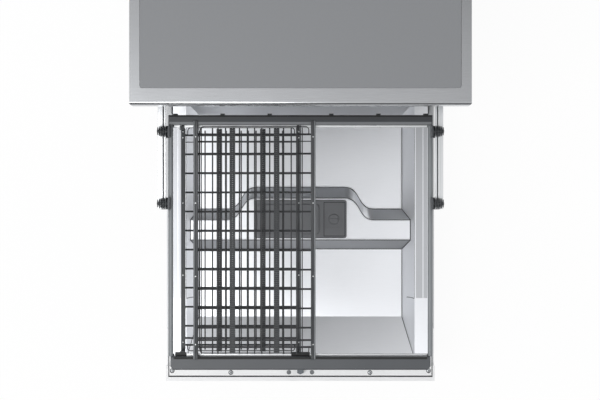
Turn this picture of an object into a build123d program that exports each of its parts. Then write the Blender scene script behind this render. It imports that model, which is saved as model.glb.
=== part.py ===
from build123d import *
import os

os.makedirs("parts", exist_ok=True)

# A free-standing dishwasher with its door open and its third-level rack pulled out.
# Millimetres. The door opens towards -Y, +Z is up, and the floor is at Z = 0.

# Overall sizes
machine_width = 600
machine_depth = 600
machine_height = 850
worktop_thickness = 30
worktop_overhang = 1

# Fits between pieces
seat_gap = 0.3
running_fit = 0.05
weld_gap = 0.02
loose_gap = 1

# Small round pieces have flat sides, which keep the model light. A pin's corners lie on its radius and a
# hole's sides lie on its own, so a pin turns freely in its hole.
pin_sides = 8
hole_sides = 12
wheel_sides = 18

# Hinge line and door
pivot_setback = 55
pivot_height = 190
door_below_pivot = 72
door_top_gap = 10
door_side_gap = 1.5
skin_drop = 55
pan_depth = 33
door_sheet = 1.0
head_height = 114
liner_inset = 18
arm_gap = 2

# Cabinet
body_sheet = 1.0
body_rear_inset = 20
body_front_inset = 4
side_fold = 15

# Tub
tub_side_space = 31
tub_rear_space = 25
tub_top_space = 55
tub_sheet = 0.8
tub_flange_top = 12
tub_flange_overlap = 2
tub_corner = 18
ledge_width = 16

# Levels of the slides
third_level_drop = 37
level_pitch = 128

# Places worked out from the sizes above
carcass_top = machine_height - worktop_thickness
door_above_pivot = carcass_top - pivot_height - door_top_gap
worktop_rear = (machine_depth + door_above_pivot - pivot_setback) / 2
worktop_front = worktop_rear - machine_depth
worktop_mid = (worktop_rear + worktop_front) / 2
pivot_y = worktop_front + pivot_setback
body_front = pivot_y + body_front_inset
body_rear = worktop_rear - body_rear_inset
body_half = machine_width / 2 - worktop_overhang
door_half = body_half - body_sheet - door_side_gap
liner_half = body_half - liner_inset
arm_inner = liner_half + arm_gap
tub_half = body_half - tub_side_space
tub_front = body_front + body_sheet + seat_gap
tub_rear = body_rear - tub_rear_space
tub_ceiling = carcass_top - tub_top_space
ledge_inner = tub_half - ledge_width
third_level = tub_ceiling - third_level_drop
upper_level = third_level - level_pitch
sides = (-1, 1)


def save(piece, name):
    """Label a finished piece and write its STEP file."""
    piece.part.label = name
    export_step(piece.part, f"parts/{name}.step")


def block(x, y, z, mode=Mode.ADD):
    """A box between two X, two Y and two Z values."""
    with Locations((sum(x) / 2, sum(y) / 2, sum(z) / 2)):
        Box(abs(x[1] - x[0]), abs(y[1] - y[0]), abs(z[1] - z[0]), mode=mode)


def across(x, y, z):
    """A plane at a point that faces +X, with its own X along Y."""
    return Plane(origin=(x, y, z), x_dir=(0, 1, 0), z_dir=(1, 0, 0))


def upright(x, y, z):
    """A level plane at a point."""
    return Plane(origin=(x, y, z))


def mesh_sheet(plane, width, height, columns, rows, wire):
    """A flat wire mesh as one holed face, centred on its plane."""
    gap_x = (width - wire * (columns + 1)) / columns
    gap_y = (height - wire * (rows + 1)) / rows
    with BuildSketch(plane) as mesh:
        Rectangle(width, height)
        with GridLocations(gap_x + wire, gap_y + wire, columns, rows):
            Rectangle(gap_x, gap_y, mode=Mode.SUBTRACT)
    return mesh.sketch


# Worktop: a metal frame with a rounded lip round an inset slab
frame_side = 18
frame_front = 30
frame_lip = 6
frame_corner = 3
inset_corner = 5
inset_width = machine_width - 2 * frame_side
inset_depth = machine_depth - frame_front - frame_side
inset_mid = worktop_mid + (frame_front - frame_side) / 2

with BuildPart() as worktop_frame:
    with BuildSketch(Plane.XY.offset(carcass_top)):
        with Locations((0, worktop_mid)):
            Rectangle(machine_width, machine_depth)
        chamfer(vertices(), frame_corner)
        with Locations((0, inset_mid)):
            RectangleRounded(inset_width, inset_depth, inset_corner, mode=Mode.SUBTRACT)
    extrude(amount=worktop_thickness)
    front_edges = worktop_frame.edges().filter_by(Axis.X).group_by(Axis.Y)[0]
    fillet(front_edges.sort_by(Axis.Z)[-1], frame_lip)
save(worktop_frame, "worktop_frame")

with BuildPart() as worktop_panel:
    with BuildSketch(Plane.XY.offset(carcass_top)):
        with Locations((0, inset_mid)):
            RectangleRounded(inset_width - 2 * seat_gap, inset_depth - 2 * seat_gap,
                             inset_corner - seat_gap)
    extrude(amount=worktop_thickness - 2 * seat_gap)
save(worktop_panel, "worktop_panel")

# Cabinet sides: folded sheets whose front fold stops above the hinge
side_bottom = 24
fold_above_pivot = 20
fold_start = pivot_height + fold_above_pivot
side_y = (body_front, body_rear)
side_z = (side_bottom, carcass_top)

with BuildPart() as side_panels:
    block((body_half - body_sheet, body_half), side_y, side_z)
    block((body_half - side_fold, body_half), (body_front, body_front + body_sheet),
          (fold_start, carcass_top))
    block((body_half - side_fold, body_half), (body_rear - body_sheet, body_rear), side_z)
    block((body_half - side_fold, body_half), side_y, (carcass_top - body_sheet, carcass_top))
    mirror(about=Plane.YZ)
save(side_panels, "side_panels")

# Rear panel: a sheet with pressed ribs between the side folds, above the base
base_drop = 78
base_top = pivot_height - base_drop
rear_rib_width = 60
rear_rib_depth = 4
rear_rib_draft = 35
rear_rib_inset = 67.7
rear_rib_pitch = 190
rear_y = body_rear - body_sheet - seat_gap
rear_half = body_half - body_sheet - seat_gap
rear_bottom = base_top + seat_gap
rear_top = carcass_top - body_sheet - seat_gap
rear_mid = (rear_bottom + rear_top) / 2
rear_rib_length = 2 * (rear_half - rear_rib_inset)

with BuildPart() as rear_panel:
    with BuildSketch(Plane.XZ.offset(-rear_y)):
        with Locations((0, rear_mid)):
            Rectangle(2 * rear_half, rear_top - rear_bottom)
    extrude(amount=body_sheet)
    with BuildSketch(Plane.XZ.offset(-rear_y)) as ribs:
        with Locations((0, rear_mid)):
            with GridLocations(0, rear_rib_pitch, 1, 3):
                Rectangle(rear_rib_length, rear_rib_width)
    extrude(amount=rear_rib_depth, taper=rear_rib_draft)
    with BuildSketch(Plane.XZ.offset(-rear_y)):
        with Locations((0, rear_mid)):
            with GridLocations(0, rear_rib_pitch, 1, 3):
                Rectangle(rear_rib_length - 2 * body_sheet, rear_rib_width - 2 * body_sheet)
    extrude(amount=rear_rib_depth - body_sheet, taper=rear_rib_draft, mode=Mode.SUBTRACT)
save(rear_panel, "rear_panel")

# Base: a moulded tray that is low in front, so that the foot of the door can swing under the tub
base_wall = 3
base_bottom = side_bottom
base_setback = 23
base_step_setback = 100
base_front_drop = 100
base_front = pivot_y + base_setback
base_step = pivot_y + base_step_setback
base_front_top = pivot_height - base_front_drop
base_half = rear_half
base_rear = rear_y
foot_side_inset = 32.7
foot_inset = 26
foot_x = base_half - foot_side_inset
foot_ys = (base_front + foot_inset, base_rear - foot_inset)
foot_stem_radius = 5
foot_boss_radius = 13
foot_boss_height = 32
inlet_inset = 107.7
drain_inset = 147.7
inlet_x = base_half - inlet_inset
drain_x = -base_half + drain_inset
connection_z = base_bottom + 46
inlet_radius = 13.2
inlet_length = 15
inlet_wall = 4
spigot_radius = 10
spigot_length = 18
spigot_wall = 2
stub_step = 1.2
stub_start = 2
base_inside = (-base_half + base_wall, base_half - base_wall)
foot_places = [(sign * foot_x, foot_y) for sign in sides for foot_y in foot_ys]

with BuildPart() as base_tray:
    with BuildSketch(Plane.YZ.offset(-base_half)):
        with BuildLine():
            Polyline(
                (base_front, base_bottom),
                (base_rear, base_bottom),
                (base_rear, base_top),
                (base_step, base_top),
                (base_step, base_front_top),
                (base_front, base_front_top),
                close=True,
            )
        make_face()
    extrude(amount=2 * base_half)
    block(base_inside, (base_front + base_wall, base_step),
          (base_bottom + base_wall, base_front_top), mode=Mode.SUBTRACT)
    block(base_inside, (base_step, base_rear - base_wall),
          (base_bottom + base_wall, base_top), mode=Mode.SUBTRACT)
    with BuildSketch(Plane.XY.offset(base_bottom)):
        with Locations(*foot_places):
            RegularPolygon(foot_boss_radius, 6)
    extrude(amount=foot_boss_height)
    with BuildSketch(Plane.XY.offset(base_bottom)):
        with Locations(*foot_places):
            RegularPolygon(foot_stem_radius + running_fit, hole_sides, major_radius=False)
    extrude(amount=foot_boss_height, mode=Mode.SUBTRACT)
    with BuildSketch(Plane.XZ.offset(-base_rear)):
        with Locations((inlet_x, connection_z)):
            RegularPolygon(inlet_radius + seat_gap, hole_sides, major_radius=False)
        with Locations((drain_x, connection_z)):
            RegularPolygon(spigot_radius + seat_gap, hole_sides, major_radius=False)
    extrude(amount=base_wall, both=True, mode=Mode.SUBTRACT)
save(base_tray, "base_tray")

# Plinth: the kick plate in front of the base
plinth_sheet = 2
plinth_bottom = 10
plinth_return = 14
plinth_front = base_front - plinth_sheet - seat_gap
plinth_top = base_front_top + seat_gap + plinth_sheet

with BuildPart() as plinth:
    block((-base_half, base_half), (plinth_front, base_front - seat_gap), (plinth_bottom, plinth_top))
    block((-base_half, base_half), (plinth_front, base_front + plinth_return),
          (plinth_top - plinth_sheet, plinth_top))
save(plinth, "plinth")

# Levelling feet: threaded stems on broad twelve-sided pads that a spanner can turn
foot_radius = 20
foot_pad = 8
foot_bevel = 2
foot_hex_radius = 10
foot_stem_end = 2
foot_top = base_bottom + foot_boss_height - foot_stem_end

with BuildPart() as levelling_feet:
    with BuildSketch(Plane.XY):
        with Locations(*foot_places):
            RegularPolygon(foot_radius, hole_sides)
    extrude(amount=foot_pad)
    chamfer(levelling_feet.edges().group_by(Axis.Z)[-1], foot_bevel)
    with BuildSketch(Plane.XY.offset(foot_pad)):
        with Locations(*foot_places):
            RegularPolygon(foot_hex_radius, 6)
    extrude(amount=base_bottom - foot_pad - seat_gap)
    with BuildSketch(Plane.XY.offset(foot_pad)):
        with Locations(*foot_places):
            RegularPolygon(foot_stem_radius, pin_sides)
    extrude(amount=foot_top - foot_pad)
save(levelling_feet, "levelling_feet")

# Tub: a stainless shell open to the front, round a moulded floor, with its front flange behind the side folds
tub_flange_half = body_half - side_fold + tub_flange_overlap
mouth_height = tub_ceiling - pivot_height

with BuildPart() as tub_shell:
    block((-tub_half - tub_sheet, tub_half + tub_sheet), (tub_front, tub_rear + tub_sheet),
          (pivot_height, tub_ceiling + tub_sheet))
    fillet(tub_shell.edges().filter_by(Axis.Y).group_by(Axis.Z)[-1], tub_corner + tub_sheet)
    openings = tub_shell.faces().sort_by(Axis.Z)[0:1] + tub_shell.faces().sort_by(Axis.Y)[0:1]
    offset(amount=-tub_sheet, openings=openings)
    with BuildSketch(Plane.XZ.offset(-tub_front)):
        with Locations((0, pivot_height + (mouth_height + tub_flange_top) / 2)):
            Rectangle(2 * tub_flange_half, mouth_height + tub_flange_top)
        with Locations((0, pivot_height + (mouth_height - tub_corner) / 2)):
            Rectangle(2 * tub_half, mouth_height - tub_corner, mode=Mode.SUBTRACT)
        with Locations((0, tub_ceiling - tub_corner)):
            RectangleRounded(2 * tub_half, 2 * tub_corner, tub_corner - weld_gap, mode=Mode.SUBTRACT)
    extrude(amount=-tub_sheet)
    for sign in sides:
        block((sign * liner_half, sign * (tub_flange_half + arm_gap)),
              (tub_front - tub_sheet, tub_front + 2 * tub_sheet),
              (pivot_height - tub_sheet, fold_start), mode=Mode.SUBTRACT)
save(tub_shell, "tub_shell")

# Tub floor: a level shelf for the wheels round a basin that falls to the sump. A post in its middle carries the
# lower spray arm, and the sump's mouth lies between the post and the basin's front slope.
floor_wall = 2.5
floor_lip = 60
floor_rear_lip = 16
basin_depth = 34
basin_slope = 18
basin_side_slope = 26
arm_thickness = 9
arm_lift = 3
arm_post_radius = 16
hub_pin_radius = 7
hub_pin_over = 1
sump_x = 0
sump_radius = 50
salt_radius = 34
salt_side_inset = 87
salt_rear_inset = 120
basin_front = tub_front + floor_lip
basin_rear = tub_rear - floor_rear_lip
basin_bottom = pivot_height - basin_depth
arm_y = (tub_front + tub_rear) / 2
lower_arm_z = pivot_height + arm_lift
sump_y = (basin_front + basin_slope + arm_y - arm_post_radius) / 2
salt_x = -ledge_inner + salt_side_inset
salt_y = tub_rear - salt_rear_inset


def basin(grow):
    """The basin as a solid, grown by a wall to make its underside."""
    depth = basin_depth + grow
    top_width = 2 * (ledge_inner + grow)
    top_depth = basin_rear - basin_front + 2 * grow
    mid = (basin_front + basin_rear) / 2
    with BuildPart() as bowl:
        with BuildSketch(Plane.XY.offset(pivot_height)):
            with Locations((0, mid)):
                Rectangle(top_width, top_depth)
        with BuildSketch(Plane.XY.offset(pivot_height - depth)):
            with Locations((0, mid + (basin_slope - basin_side_slope) / 2)):
                Rectangle(top_width - 2 * basin_side_slope, top_depth - basin_slope - basin_side_slope)
        loft(ruled=True)
    return bowl.part


with BuildPart() as tub_floor:
    block((-tub_half, tub_half), (tub_front, tub_rear), (pivot_height - floor_wall, pivot_height - weld_gap))
    add(basin(floor_wall))
    block((-tub_half, tub_half), (tub_front, tub_rear), (pivot_height - weld_gap, pivot_height + floor_wall),
          mode=Mode.SUBTRACT)
    add(basin(0), mode=Mode.SUBTRACT)
    with BuildSketch(Plane.XY.offset(pivot_height)):
        with Locations((sump_x, sump_y)):
            RegularPolygon(sump_radius, wheel_sides)
        with Locations((salt_x, salt_y)):
            RegularPolygon(salt_radius, wheel_sides, major_radius=False)
    extrude(amount=-basin_depth - 4 * floor_wall, mode=Mode.SUBTRACT)
    with BuildSketch(upright(0, arm_y, basin_bottom - floor_wall)):
        RegularPolygon(arm_post_radius, hole_sides)
    extrude(amount=lower_arm_z - seat_gap - basin_bottom + floor_wall)
    with BuildSketch(upright(0, arm_y, lower_arm_z - seat_gap)):
        Circle(hub_pin_radius)
    extrude(amount=seat_gap + arm_thickness + hub_pin_over)
save(tub_floor, "tub_floor")

# Gasket: a soft profile round the tub's mouth
seal_width = 10
seal_setback = 1
seal_depth = tub_front - pivot_y - 2 * seat_gap
seal_inner = tub_half + seal_setback
seal_top = tub_ceiling + seal_setback

with BuildPart() as tub_gasket:
    with BuildSketch(Plane.XZ.offset(-tub_front + seat_gap)):
        with Locations((0, (pivot_height + seal_top + seal_width) / 2)):
            Rectangle(2 * (seal_inner + seal_width), seal_top + seal_width - pivot_height)
        with Locations((0, (pivot_height + seal_top) / 2)):
            Rectangle(2 * seal_inner, seal_top - pivot_height, mode=Mode.SUBTRACT)
    extrude(amount=seal_depth)
save(tub_gasket, "tub_gasket")

# Crossbar: the folded rail above the tub's mouth that carries the lock and the worktop
bar_above_flange = 3
bar_sheet = 1.5
bar_depth = 40
bar_bottom = tub_ceiling + tub_flange_top + bar_above_flange
bar_under = carcass_top - body_sheet - seat_gap
striker_drop = 22
striker_u = door_above_pivot - striker_drop
striker_z = pivot_height + striker_u
slot_half = 12
slot_height = 22

with BuildPart() as front_crossbar:
    with BuildSketch(Plane.YZ.offset(-rear_half)):
        with BuildLine():
            Polyline(
                (tub_front, bar_bottom),
                (tub_front + bar_sheet, bar_bottom),
                (tub_front + bar_sheet, bar_under - bar_sheet),
                (tub_front + bar_depth, bar_under - bar_sheet),
                (tub_front + bar_depth, bar_under),
                (tub_front, bar_under),
                close=True,
            )
        make_face()
    extrude(amount=2 * rear_half)
    block((-slot_half, slot_half), (tub_front - bar_sheet, tub_front + 2 * bar_sheet),
          (bar_bottom - bar_sheet, striker_z + slot_height / 2), mode=Mode.SUBTRACT)
save(front_crossbar, "front_crossbar")

# Door lock: the catch behind the crossbar that takes the striker
lock_half = 32
lock_depth = 34
lock_corner = 3
lock_slot_depth = 16
lock_front = tub_front + bar_sheet + seat_gap
lock_bottom = tub_ceiling + tub_sheet + seat_gap
lock_top = bar_under - bar_sheet - seat_gap

with BuildPart() as door_lock:
    block((-lock_half, lock_half), (lock_front, lock_front + lock_depth), (lock_bottom, lock_top))
    chamfer(door_lock.edges().filter_by(Axis.Z), lock_corner)
    block((-slot_half, slot_half), (lock_front - seat_gap, lock_front + lock_slot_depth),
          (striker_z - slot_height / 2, striker_z + slot_height / 2), mode=Mode.SUBTRACT)
save(door_lock, "door_lock")

# Hinge brackets reach forward over the base to the hinge line, each with its riveted pin
bracket_sheet = 3
bracket_round = 13.5
bracket_lower = 0.5
bracket_depth = 118
bracket_leg_depth = 18
bracket_foot_rise = 20
pin_radius = 5
bracket_outer = base_half - base_wall - seat_gap
bracket_inner = bracket_outer - bracket_sheet
bracket_mid = pivot_height - bracket_lower
bracket_top = bracket_mid + bracket_round
bracket_under = bracket_mid - bracket_round
bracket_rear = pivot_y + bracket_depth
bracket_leg = bracket_rear - bracket_leg_depth
bracket_foot = base_bottom + bracket_foot_rise

with BuildPart() as hinge_brackets:
    with BuildSketch(Plane.YZ.offset(bracket_inner)):
        with BuildLine():
            Polyline(
                (pivot_y, bracket_top),
                (bracket_rear, bracket_top),
                (bracket_rear, bracket_foot),
                (bracket_leg, bracket_foot),
                (bracket_leg, bracket_under),
                (pivot_y, bracket_under),
                close=True,
            )
        make_face()
        with Locations((pivot_y, bracket_mid)):
            Circle(bracket_round)
    extrude(amount=bracket_sheet)
    with BuildSketch(Plane.YZ.offset(bracket_outer)):
        with Locations((pivot_y, pivot_height)):
            Circle(pin_radius)
    extrude(amount=arm_inner - arm_gap / 2 - bracket_outer)
    mirror(about=Plane.YZ)
save(hinge_brackets, "hinge_brackets")

# Door springs: close-wound tension springs along the base that balance the door
spring_radius = 8
spring_length = 150
spring_rise = 22
spring_inset = 6
spring_hook = 12
spring_hook_half = 4
spring_z = base_top + spring_rise
spring_x = base_half - base_wall - spring_inset
spring_start = bracket_rear + spring_hook + seat_gap
spring_end = spring_start + spring_length

with BuildPart() as door_springs:
    with BuildSketch(Plane.XZ.offset(-spring_start)):
        with Locations((spring_x, spring_z)):
            RegularPolygon(spring_radius, pin_sides)
    extrude(amount=-spring_length)
    block((spring_x - spring_hook_half, bracket_outer), (spring_start - spring_hook, spring_start),
          (spring_z - spring_hook_half, spring_z + spring_hook_half))
    block((spring_x - spring_hook_half, base_half), (spring_end, spring_end + spring_hook),
          (base_top + seat_gap, spring_z + spring_hook_half))
    mirror(about=Plane.YZ)
save(door_springs, "door_springs")

# Sump: an eight-sided bowl under the basin, with a port on each side for its two pumps
sump_wall = 3
sump_rim = 8
sump_depth = 74
sump_sides = 8
port_radius = 13
port_wall = 2
port_length = 20
port_rise = 24
sump_top = basin_bottom - floor_wall - seat_gap
sump_bottom = sump_top - sump_depth
port_z = sump_bottom + port_rise
port_reach = sump_radius + port_length
sump_turn = 180 / sump_sides


def sump_outline(radius):
    """The bowl's outline with its flats at a radius, in the sketch being built."""
    RegularPolygon(radius, sump_sides, major_radius=False, rotation=sump_turn)


with BuildPart() as sump:
    with BuildSketch(upright(sump_x, sump_y, sump_top)):
        sump_outline(sump_radius + sump_rim)
    extrude(amount=-sump_wall)
    with BuildSketch(upright(sump_x, sump_y, sump_top)):
        sump_outline(sump_radius)
    extrude(amount=-sump_depth)
    with BuildSketch(upright(sump_x, sump_y, sump_top)):
        sump_outline(sump_radius - sump_wall)
    extrude(amount=-sump_depth + sump_wall, mode=Mode.SUBTRACT)
    for sign in sides:
        with BuildSketch(across(sump_x + sign * (sump_radius - sump_wall), sump_y, port_z)):
            RegularPolygon(port_radius, hole_sides)
        extrude(amount=sign * (port_length + sump_wall))
        with BuildSketch(across(sump_x + sign * (sump_radius - sump_wall), sump_y, port_z)):
            RegularPolygon(port_radius - port_wall, hole_sides)
        extrude(amount=sign * (port_length + sump_wall), mode=Mode.SUBTRACT)
save(sump, "sump")

# Filters: a flat slotted plate over the sump and the cup that turns in it
filter_plate = 1.2
filter_over = 8
filter_slots = 8
filter_slot_length = 20
filter_slot_width = 4
cup_radius = 26
cup_wall = 2
cup_height = 62
cup_rim = 4
cup_flange = 6
cup_handle_half = 3
cup_handle_depth = 12
filter_outer = sump_radius + filter_over
plate_z = basin_bottom + seat_gap
cup_top = plate_z + filter_plate + seat_gap

with BuildPart() as flat_filter:
    with BuildSketch(upright(sump_x, sump_y, plate_z)):
        RegularPolygon(filter_outer, hole_sides)
        RegularPolygon(cup_radius + 2 * seat_gap, hole_sides, major_radius=False, mode=Mode.SUBTRACT)
        with PolarLocations((filter_outer + cup_radius) / 2, filter_slots):
            Rectangle(filter_slot_length, filter_slot_width, mode=Mode.SUBTRACT)
    extrude(amount=filter_plate)
save(flat_filter, "flat_filter")

with BuildPart() as micro_filter:
    with BuildSketch(upright(sump_x, sump_y, cup_top)):
        RegularPolygon(cup_radius + cup_flange, wheel_sides)
    extrude(amount=cup_rim)
    with BuildSketch(upright(sump_x, sump_y, cup_top)):
        RegularPolygon(cup_radius, hole_sides)
    extrude(amount=-cup_height)
    with BuildSketch(upright(sump_x, sump_y, cup_top + cup_rim)):
        RegularPolygon(cup_radius - cup_wall, hole_sides)
    extrude(amount=-cup_height - cup_rim + cup_wall, mode=Mode.SUBTRACT)
    block((sump_x - cup_radius + cup_wall / 2, sump_x + cup_radius - cup_wall / 2),
          (sump_y - cup_handle_half, sump_y + cup_handle_half), (cup_top - cup_handle_depth, cup_top + cup_rim))
save(micro_filter, "micro_filter")

# Water softener with its filler under a twelve-sided screw cap in the basin
softener_drop = 52
softener_width = 150
softener_depth = 120
softener_corner = 12
neck_wall = 4
neck_depth = 10
cap_plate = 6
cap_bar = 6
cap_bar_half = 4
cap_over = 5
cap_plug = 14
softener_bottom = base_bottom + base_wall
softener_top = pivot_height - softener_drop
neck_radius = salt_radius - loose_gap
neck_top = basin_bottom - loose_gap
neck_bore = neck_radius - neck_wall
cap_base = basin_bottom + seat_gap

with BuildPart() as softener:
    block((salt_x - softener_width / 2, salt_x + softener_width / 2),
          (salt_y - softener_depth / 2, salt_y + softener_depth / 2), (softener_bottom, softener_top))
    chamfer(softener.edges().filter_by(Axis.Z), softener_corner)
    with BuildSketch(upright(salt_x, salt_y, softener_top)):
        RegularPolygon(neck_radius, hole_sides)
    extrude(amount=neck_top - softener_top)
    with BuildSketch(upright(salt_x, salt_y, neck_top)):
        RegularPolygon(neck_bore, hole_sides, major_radius=False)
    extrude(amount=softener_top - neck_top - neck_depth, mode=Mode.SUBTRACT)
save(softener, "softener")

with BuildPart() as salt_cap:
    with BuildSketch(upright(salt_x, salt_y, cap_base)):
        RegularPolygon(salt_radius + cap_over, hole_sides)
    extrude(amount=cap_plate)
    with BuildSketch(upright(salt_x, salt_y, cap_base)):
        RegularPolygon(neck_bore - seat_gap, hole_sides)
    extrude(amount=-cap_plug)
    block((salt_x - salt_radius + cap_bar_half, salt_x + salt_radius - cap_bar_half),
          (salt_y - cap_bar_half, salt_y + cap_bar_half), (cap_base, cap_base + cap_plate + cap_bar))
save(salt_cap, "salt_cap")

# Pumps: a circulation pump to the right of the sump, a small drain pump to the left
pump_neck = 18
shaft_rise = 8
volute_radius = 40
volute_length = 36
motor_radius = 34
motor_length = 78
motor_cap_radius = 26
motor_cap_length = 8
pump_foot_start = 62
pump_foot_end = 118
pump_foot_half = 22
drain_neck = 14
drain_radius = 24
drain_length = 22
drain_motor_length = 42
drain_motor_half = 20
drain_stub_half = 7
drain_stub_reach = 44
pump_x = sump_x + port_reach + seat_gap
pump_floor = base_bottom + base_wall + seat_gap
volute_x = pump_x + pump_neck
motor_x = volute_x + volute_length
motor_end = motor_x + motor_length
drain_end = -pump_x - drain_neck - drain_length
drain_stub_x = -pump_x - drain_neck - drain_length / 2


def turned(x, z, radius, length):
    """A round stage of a pump along X, in the part being built."""
    with BuildSketch(across(x, sump_y, z)) as stage:
        RegularPolygon(radius, wheel_sides)
    extrude(to_extrude=stage.sketch, amount=length)


with BuildPart() as circulation_pump:
    turned(pump_x, port_z, port_radius, pump_neck + arm_gap)
    turned(volute_x, port_z + shaft_rise, volute_radius, volute_length)
    turned(motor_x, port_z + shaft_rise, motor_radius, motor_length)
    turned(motor_end, port_z + shaft_rise, motor_cap_radius, motor_cap_length)
    block((pump_x + pump_foot_start, pump_x + pump_foot_end),
          (sump_y - pump_foot_half, sump_y + pump_foot_half), (pump_floor, port_z))
save(circulation_pump, "circulation_pump")

with BuildPart() as drain_pump:
    turned(-pump_x, port_z, port_radius, -drain_neck)
    turned(-pump_x - drain_neck, port_z, drain_radius, -drain_length)
    block((drain_end, drain_end - drain_motor_length), (sump_y - drain_motor_half, sump_y + drain_motor_half),
          (pump_floor, port_z + drain_motor_half))
    block((drain_stub_x - drain_stub_half, drain_stub_x + drain_stub_half), (sump_y, sump_y + drain_stub_reach),
          (port_z + drain_radius / 2 - drain_stub_half, port_z + drain_radius / 2 + drain_stub_half))
save(drain_pump, "drain_pump")

# Rear connections: the inlet valve's stub and the drain spigot, each on a neck through the base's rear wall
valve_half = 22
valve_depth = 46
valve_below = 18
valve_above = 26
valve_corner = 5
outlet_half = 16
outlet_depth = 26
valve_rear = base_rear - base_wall - seat_gap
neck_length = base_rear + stub_start - valve_rear

with BuildPart() as inlet_valve:
    block((inlet_x - valve_half, inlet_x + valve_half), (valve_rear - valve_depth, valve_rear),
          (connection_z - valve_below, connection_z + valve_above))
    chamfer(inlet_valve.edges().filter_by(Axis.Y), valve_corner)
    with BuildSketch(Plane.XZ.offset(-valve_rear)):
        with Locations((inlet_x, connection_z)):
            RegularPolygon(inlet_radius - stub_step, hole_sides)
    extrude(amount=-neck_length)
    with BuildSketch(Plane.XZ.offset(-base_rear - stub_start)):
        with Locations((inlet_x, connection_z)):
            Circle(inlet_radius)
            RegularPolygon(inlet_radius - inlet_wall, hole_sides, mode=Mode.SUBTRACT)
    extrude(amount=-inlet_length)
save(inlet_valve, "inlet_valve")

with BuildPart() as drain_outlet:
    block((drain_x - outlet_half, drain_x + outlet_half), (valve_rear - outlet_depth, valve_rear),
          (connection_z - outlet_half, connection_z + outlet_half))
    with BuildSketch(Plane.XZ.offset(-valve_rear)):
        with Locations((drain_x, connection_z)):
            RegularPolygon(spigot_radius - stub_step, hole_sides)
    extrude(amount=-neck_length)
    with BuildSketch(Plane.XZ.offset(-base_rear - stub_start)):
        with Locations((drain_x, connection_z)):
            Circle(spigot_radius)
            RegularPolygon(spigot_radius - spigot_wall, hole_sides, mode=Mode.SUBTRACT)
    extrude(amount=-spigot_length)
save(drain_outlet, "drain_outlet")

# Feed pipe: a flat duct up the rear wall and forward under the ceiling
duct_width = 36
duct_depth = 9
duct_boss = 1.5
duct_boss_radius = 12
duct_bend = 18
duct_foot = pivot_height + seat_gap
duct_y = tub_rear - seat_gap - duct_depth / 2
duct_z = tub_ceiling - seat_gap - duct_depth / 2
duct_front = arm_y - duct_bend
hub_pin_length = seat_gap + arm_thickness + hub_pin_over

with BuildPart() as feed_pipe:
    with BuildLine():
        FilletPolyline((0, duct_y, duct_foot), (0, duct_y, duct_z), (0, duct_front, duct_z), radius=duct_bend)
    with BuildSketch(upright(0, duct_y, duct_foot)):
        Rectangle(duct_width, duct_depth)
    sweep()
    with BuildSketch(upright(0, arm_y, duct_z)):
        RegularPolygon(duct_boss_radius, hole_sides)
    extrude(amount=-duct_depth / 2 - duct_boss)
    with BuildSketch(upright(0, arm_y, duct_z)):
        Circle(hub_pin_radius)
    extrude(amount=-duct_depth / 2 - duct_boss - hub_pin_length)
save(feed_pipe, "feed_pipe")

# Spray arms: two-ended blades that turn freely on a hub pin, with a row of nozzles along each blade
arm_hub_radius = 24
arm_bevel = 2
nozzle_count = 5
nozzle_length = 9
nozzle_width = 2.5
nozzle_depth = 2
lower_arm_length = 460
lower_arm_width = 40
upper_arm_length = 420
upper_arm_width = 36
ceiling_arm_length = 180
ceiling_arm_width = 30


def spray_arm(z, length, width):
    """A spray arm with its underside at z, and with its nozzles in its upper face."""
    blade = length / 2 - arm_hub_radius - width / 2
    with BuildPart() as arm:
        with BuildSketch(upright(0, arm_y, z)):
            Rectangle(length, width)
            chamfer(vertices(), width / 4)
            RegularPolygon(arm_hub_radius, wheel_sides)
        extrude(amount=arm_thickness)
        chamfer(arm.edges().group_by(Axis.Z)[-1], arm_bevel)
        for sign in sides:
            with BuildSketch(upright(sign * (arm_hub_radius + blade / 2), arm_y, z + arm_thickness)):
                with GridLocations(blade / nozzle_count, 0, nozzle_count, 1):
                    Rectangle(nozzle_length, nozzle_width)
            extrude(amount=-nozzle_depth, mode=Mode.SUBTRACT)
        with BuildSketch(upright(0, arm_y, z)):
            Circle(hub_pin_radius + running_fit)
        extrude(amount=arm_thickness, mode=Mode.SUBTRACT)
    return arm


lower_spray_arm = spray_arm(lower_arm_z, lower_arm_length, lower_arm_width)
save(lower_spray_arm, "lower_spray_arm")

# Third-level slides: a fixed guide on the tub wall and a grooved rail that runs in it
rail_side_space = 21.5
rail_width = 9.3
rail_height = 12
tongue_height = 4
groove_width = 2
groove_depth = 1.5
guide_height = 9
guide_gap = 1.2
guide_rear_space = 8
guide_overrun = 36.7
slot_depth = 7
slot_end_gap = 1
third_rail_setback = 7.7
third_rail_travel = 250
rail_inner = tub_half - rail_side_space
rail_mid = rail_inner + rail_width / 2
rail_outer = rail_inner + rail_width
guide_inner = rail_outer + guide_gap
tongue_reach = slot_depth - slot_end_gap
guide_length = tub_rear - guide_rear_space - tub_front
rail_length = guide_length - guide_overrun
rail_out_y = tub_front + third_rail_setback - third_rail_travel


def guide_section(level):
    """The fixed guide's section on the right-hand wall, with a slot that faces the rack."""
    with BuildSketch(Plane.XZ) as section:
        with Locations(((guide_inner + tub_half) / 2, level)):
            Rectangle(tub_half - guide_inner, guide_height)
        with Locations((guide_inner + slot_depth / 2, level)):
            Rectangle(slot_depth, tongue_height + 2 * seat_gap, mode=Mode.SUBTRACT)
    return section.sketch


def rail_section(level):
    """The sliding rail's section: a grooved bar with a tongue in the guide's slot."""
    with BuildSketch(Plane.XZ) as section:
        with Locations((rail_mid, level)):
            Rectangle(rail_width, rail_height)
        with Locations((rail_outer + tongue_reach / 2, level)):
            Rectangle(tongue_reach, tongue_height)
        with Locations((rail_mid, level + rail_height / 2), (rail_mid, level - rail_height / 2)):
            Rectangle(groove_width, 2 * groove_depth, mode=Mode.SUBTRACT)
    return section.sketch


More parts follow.
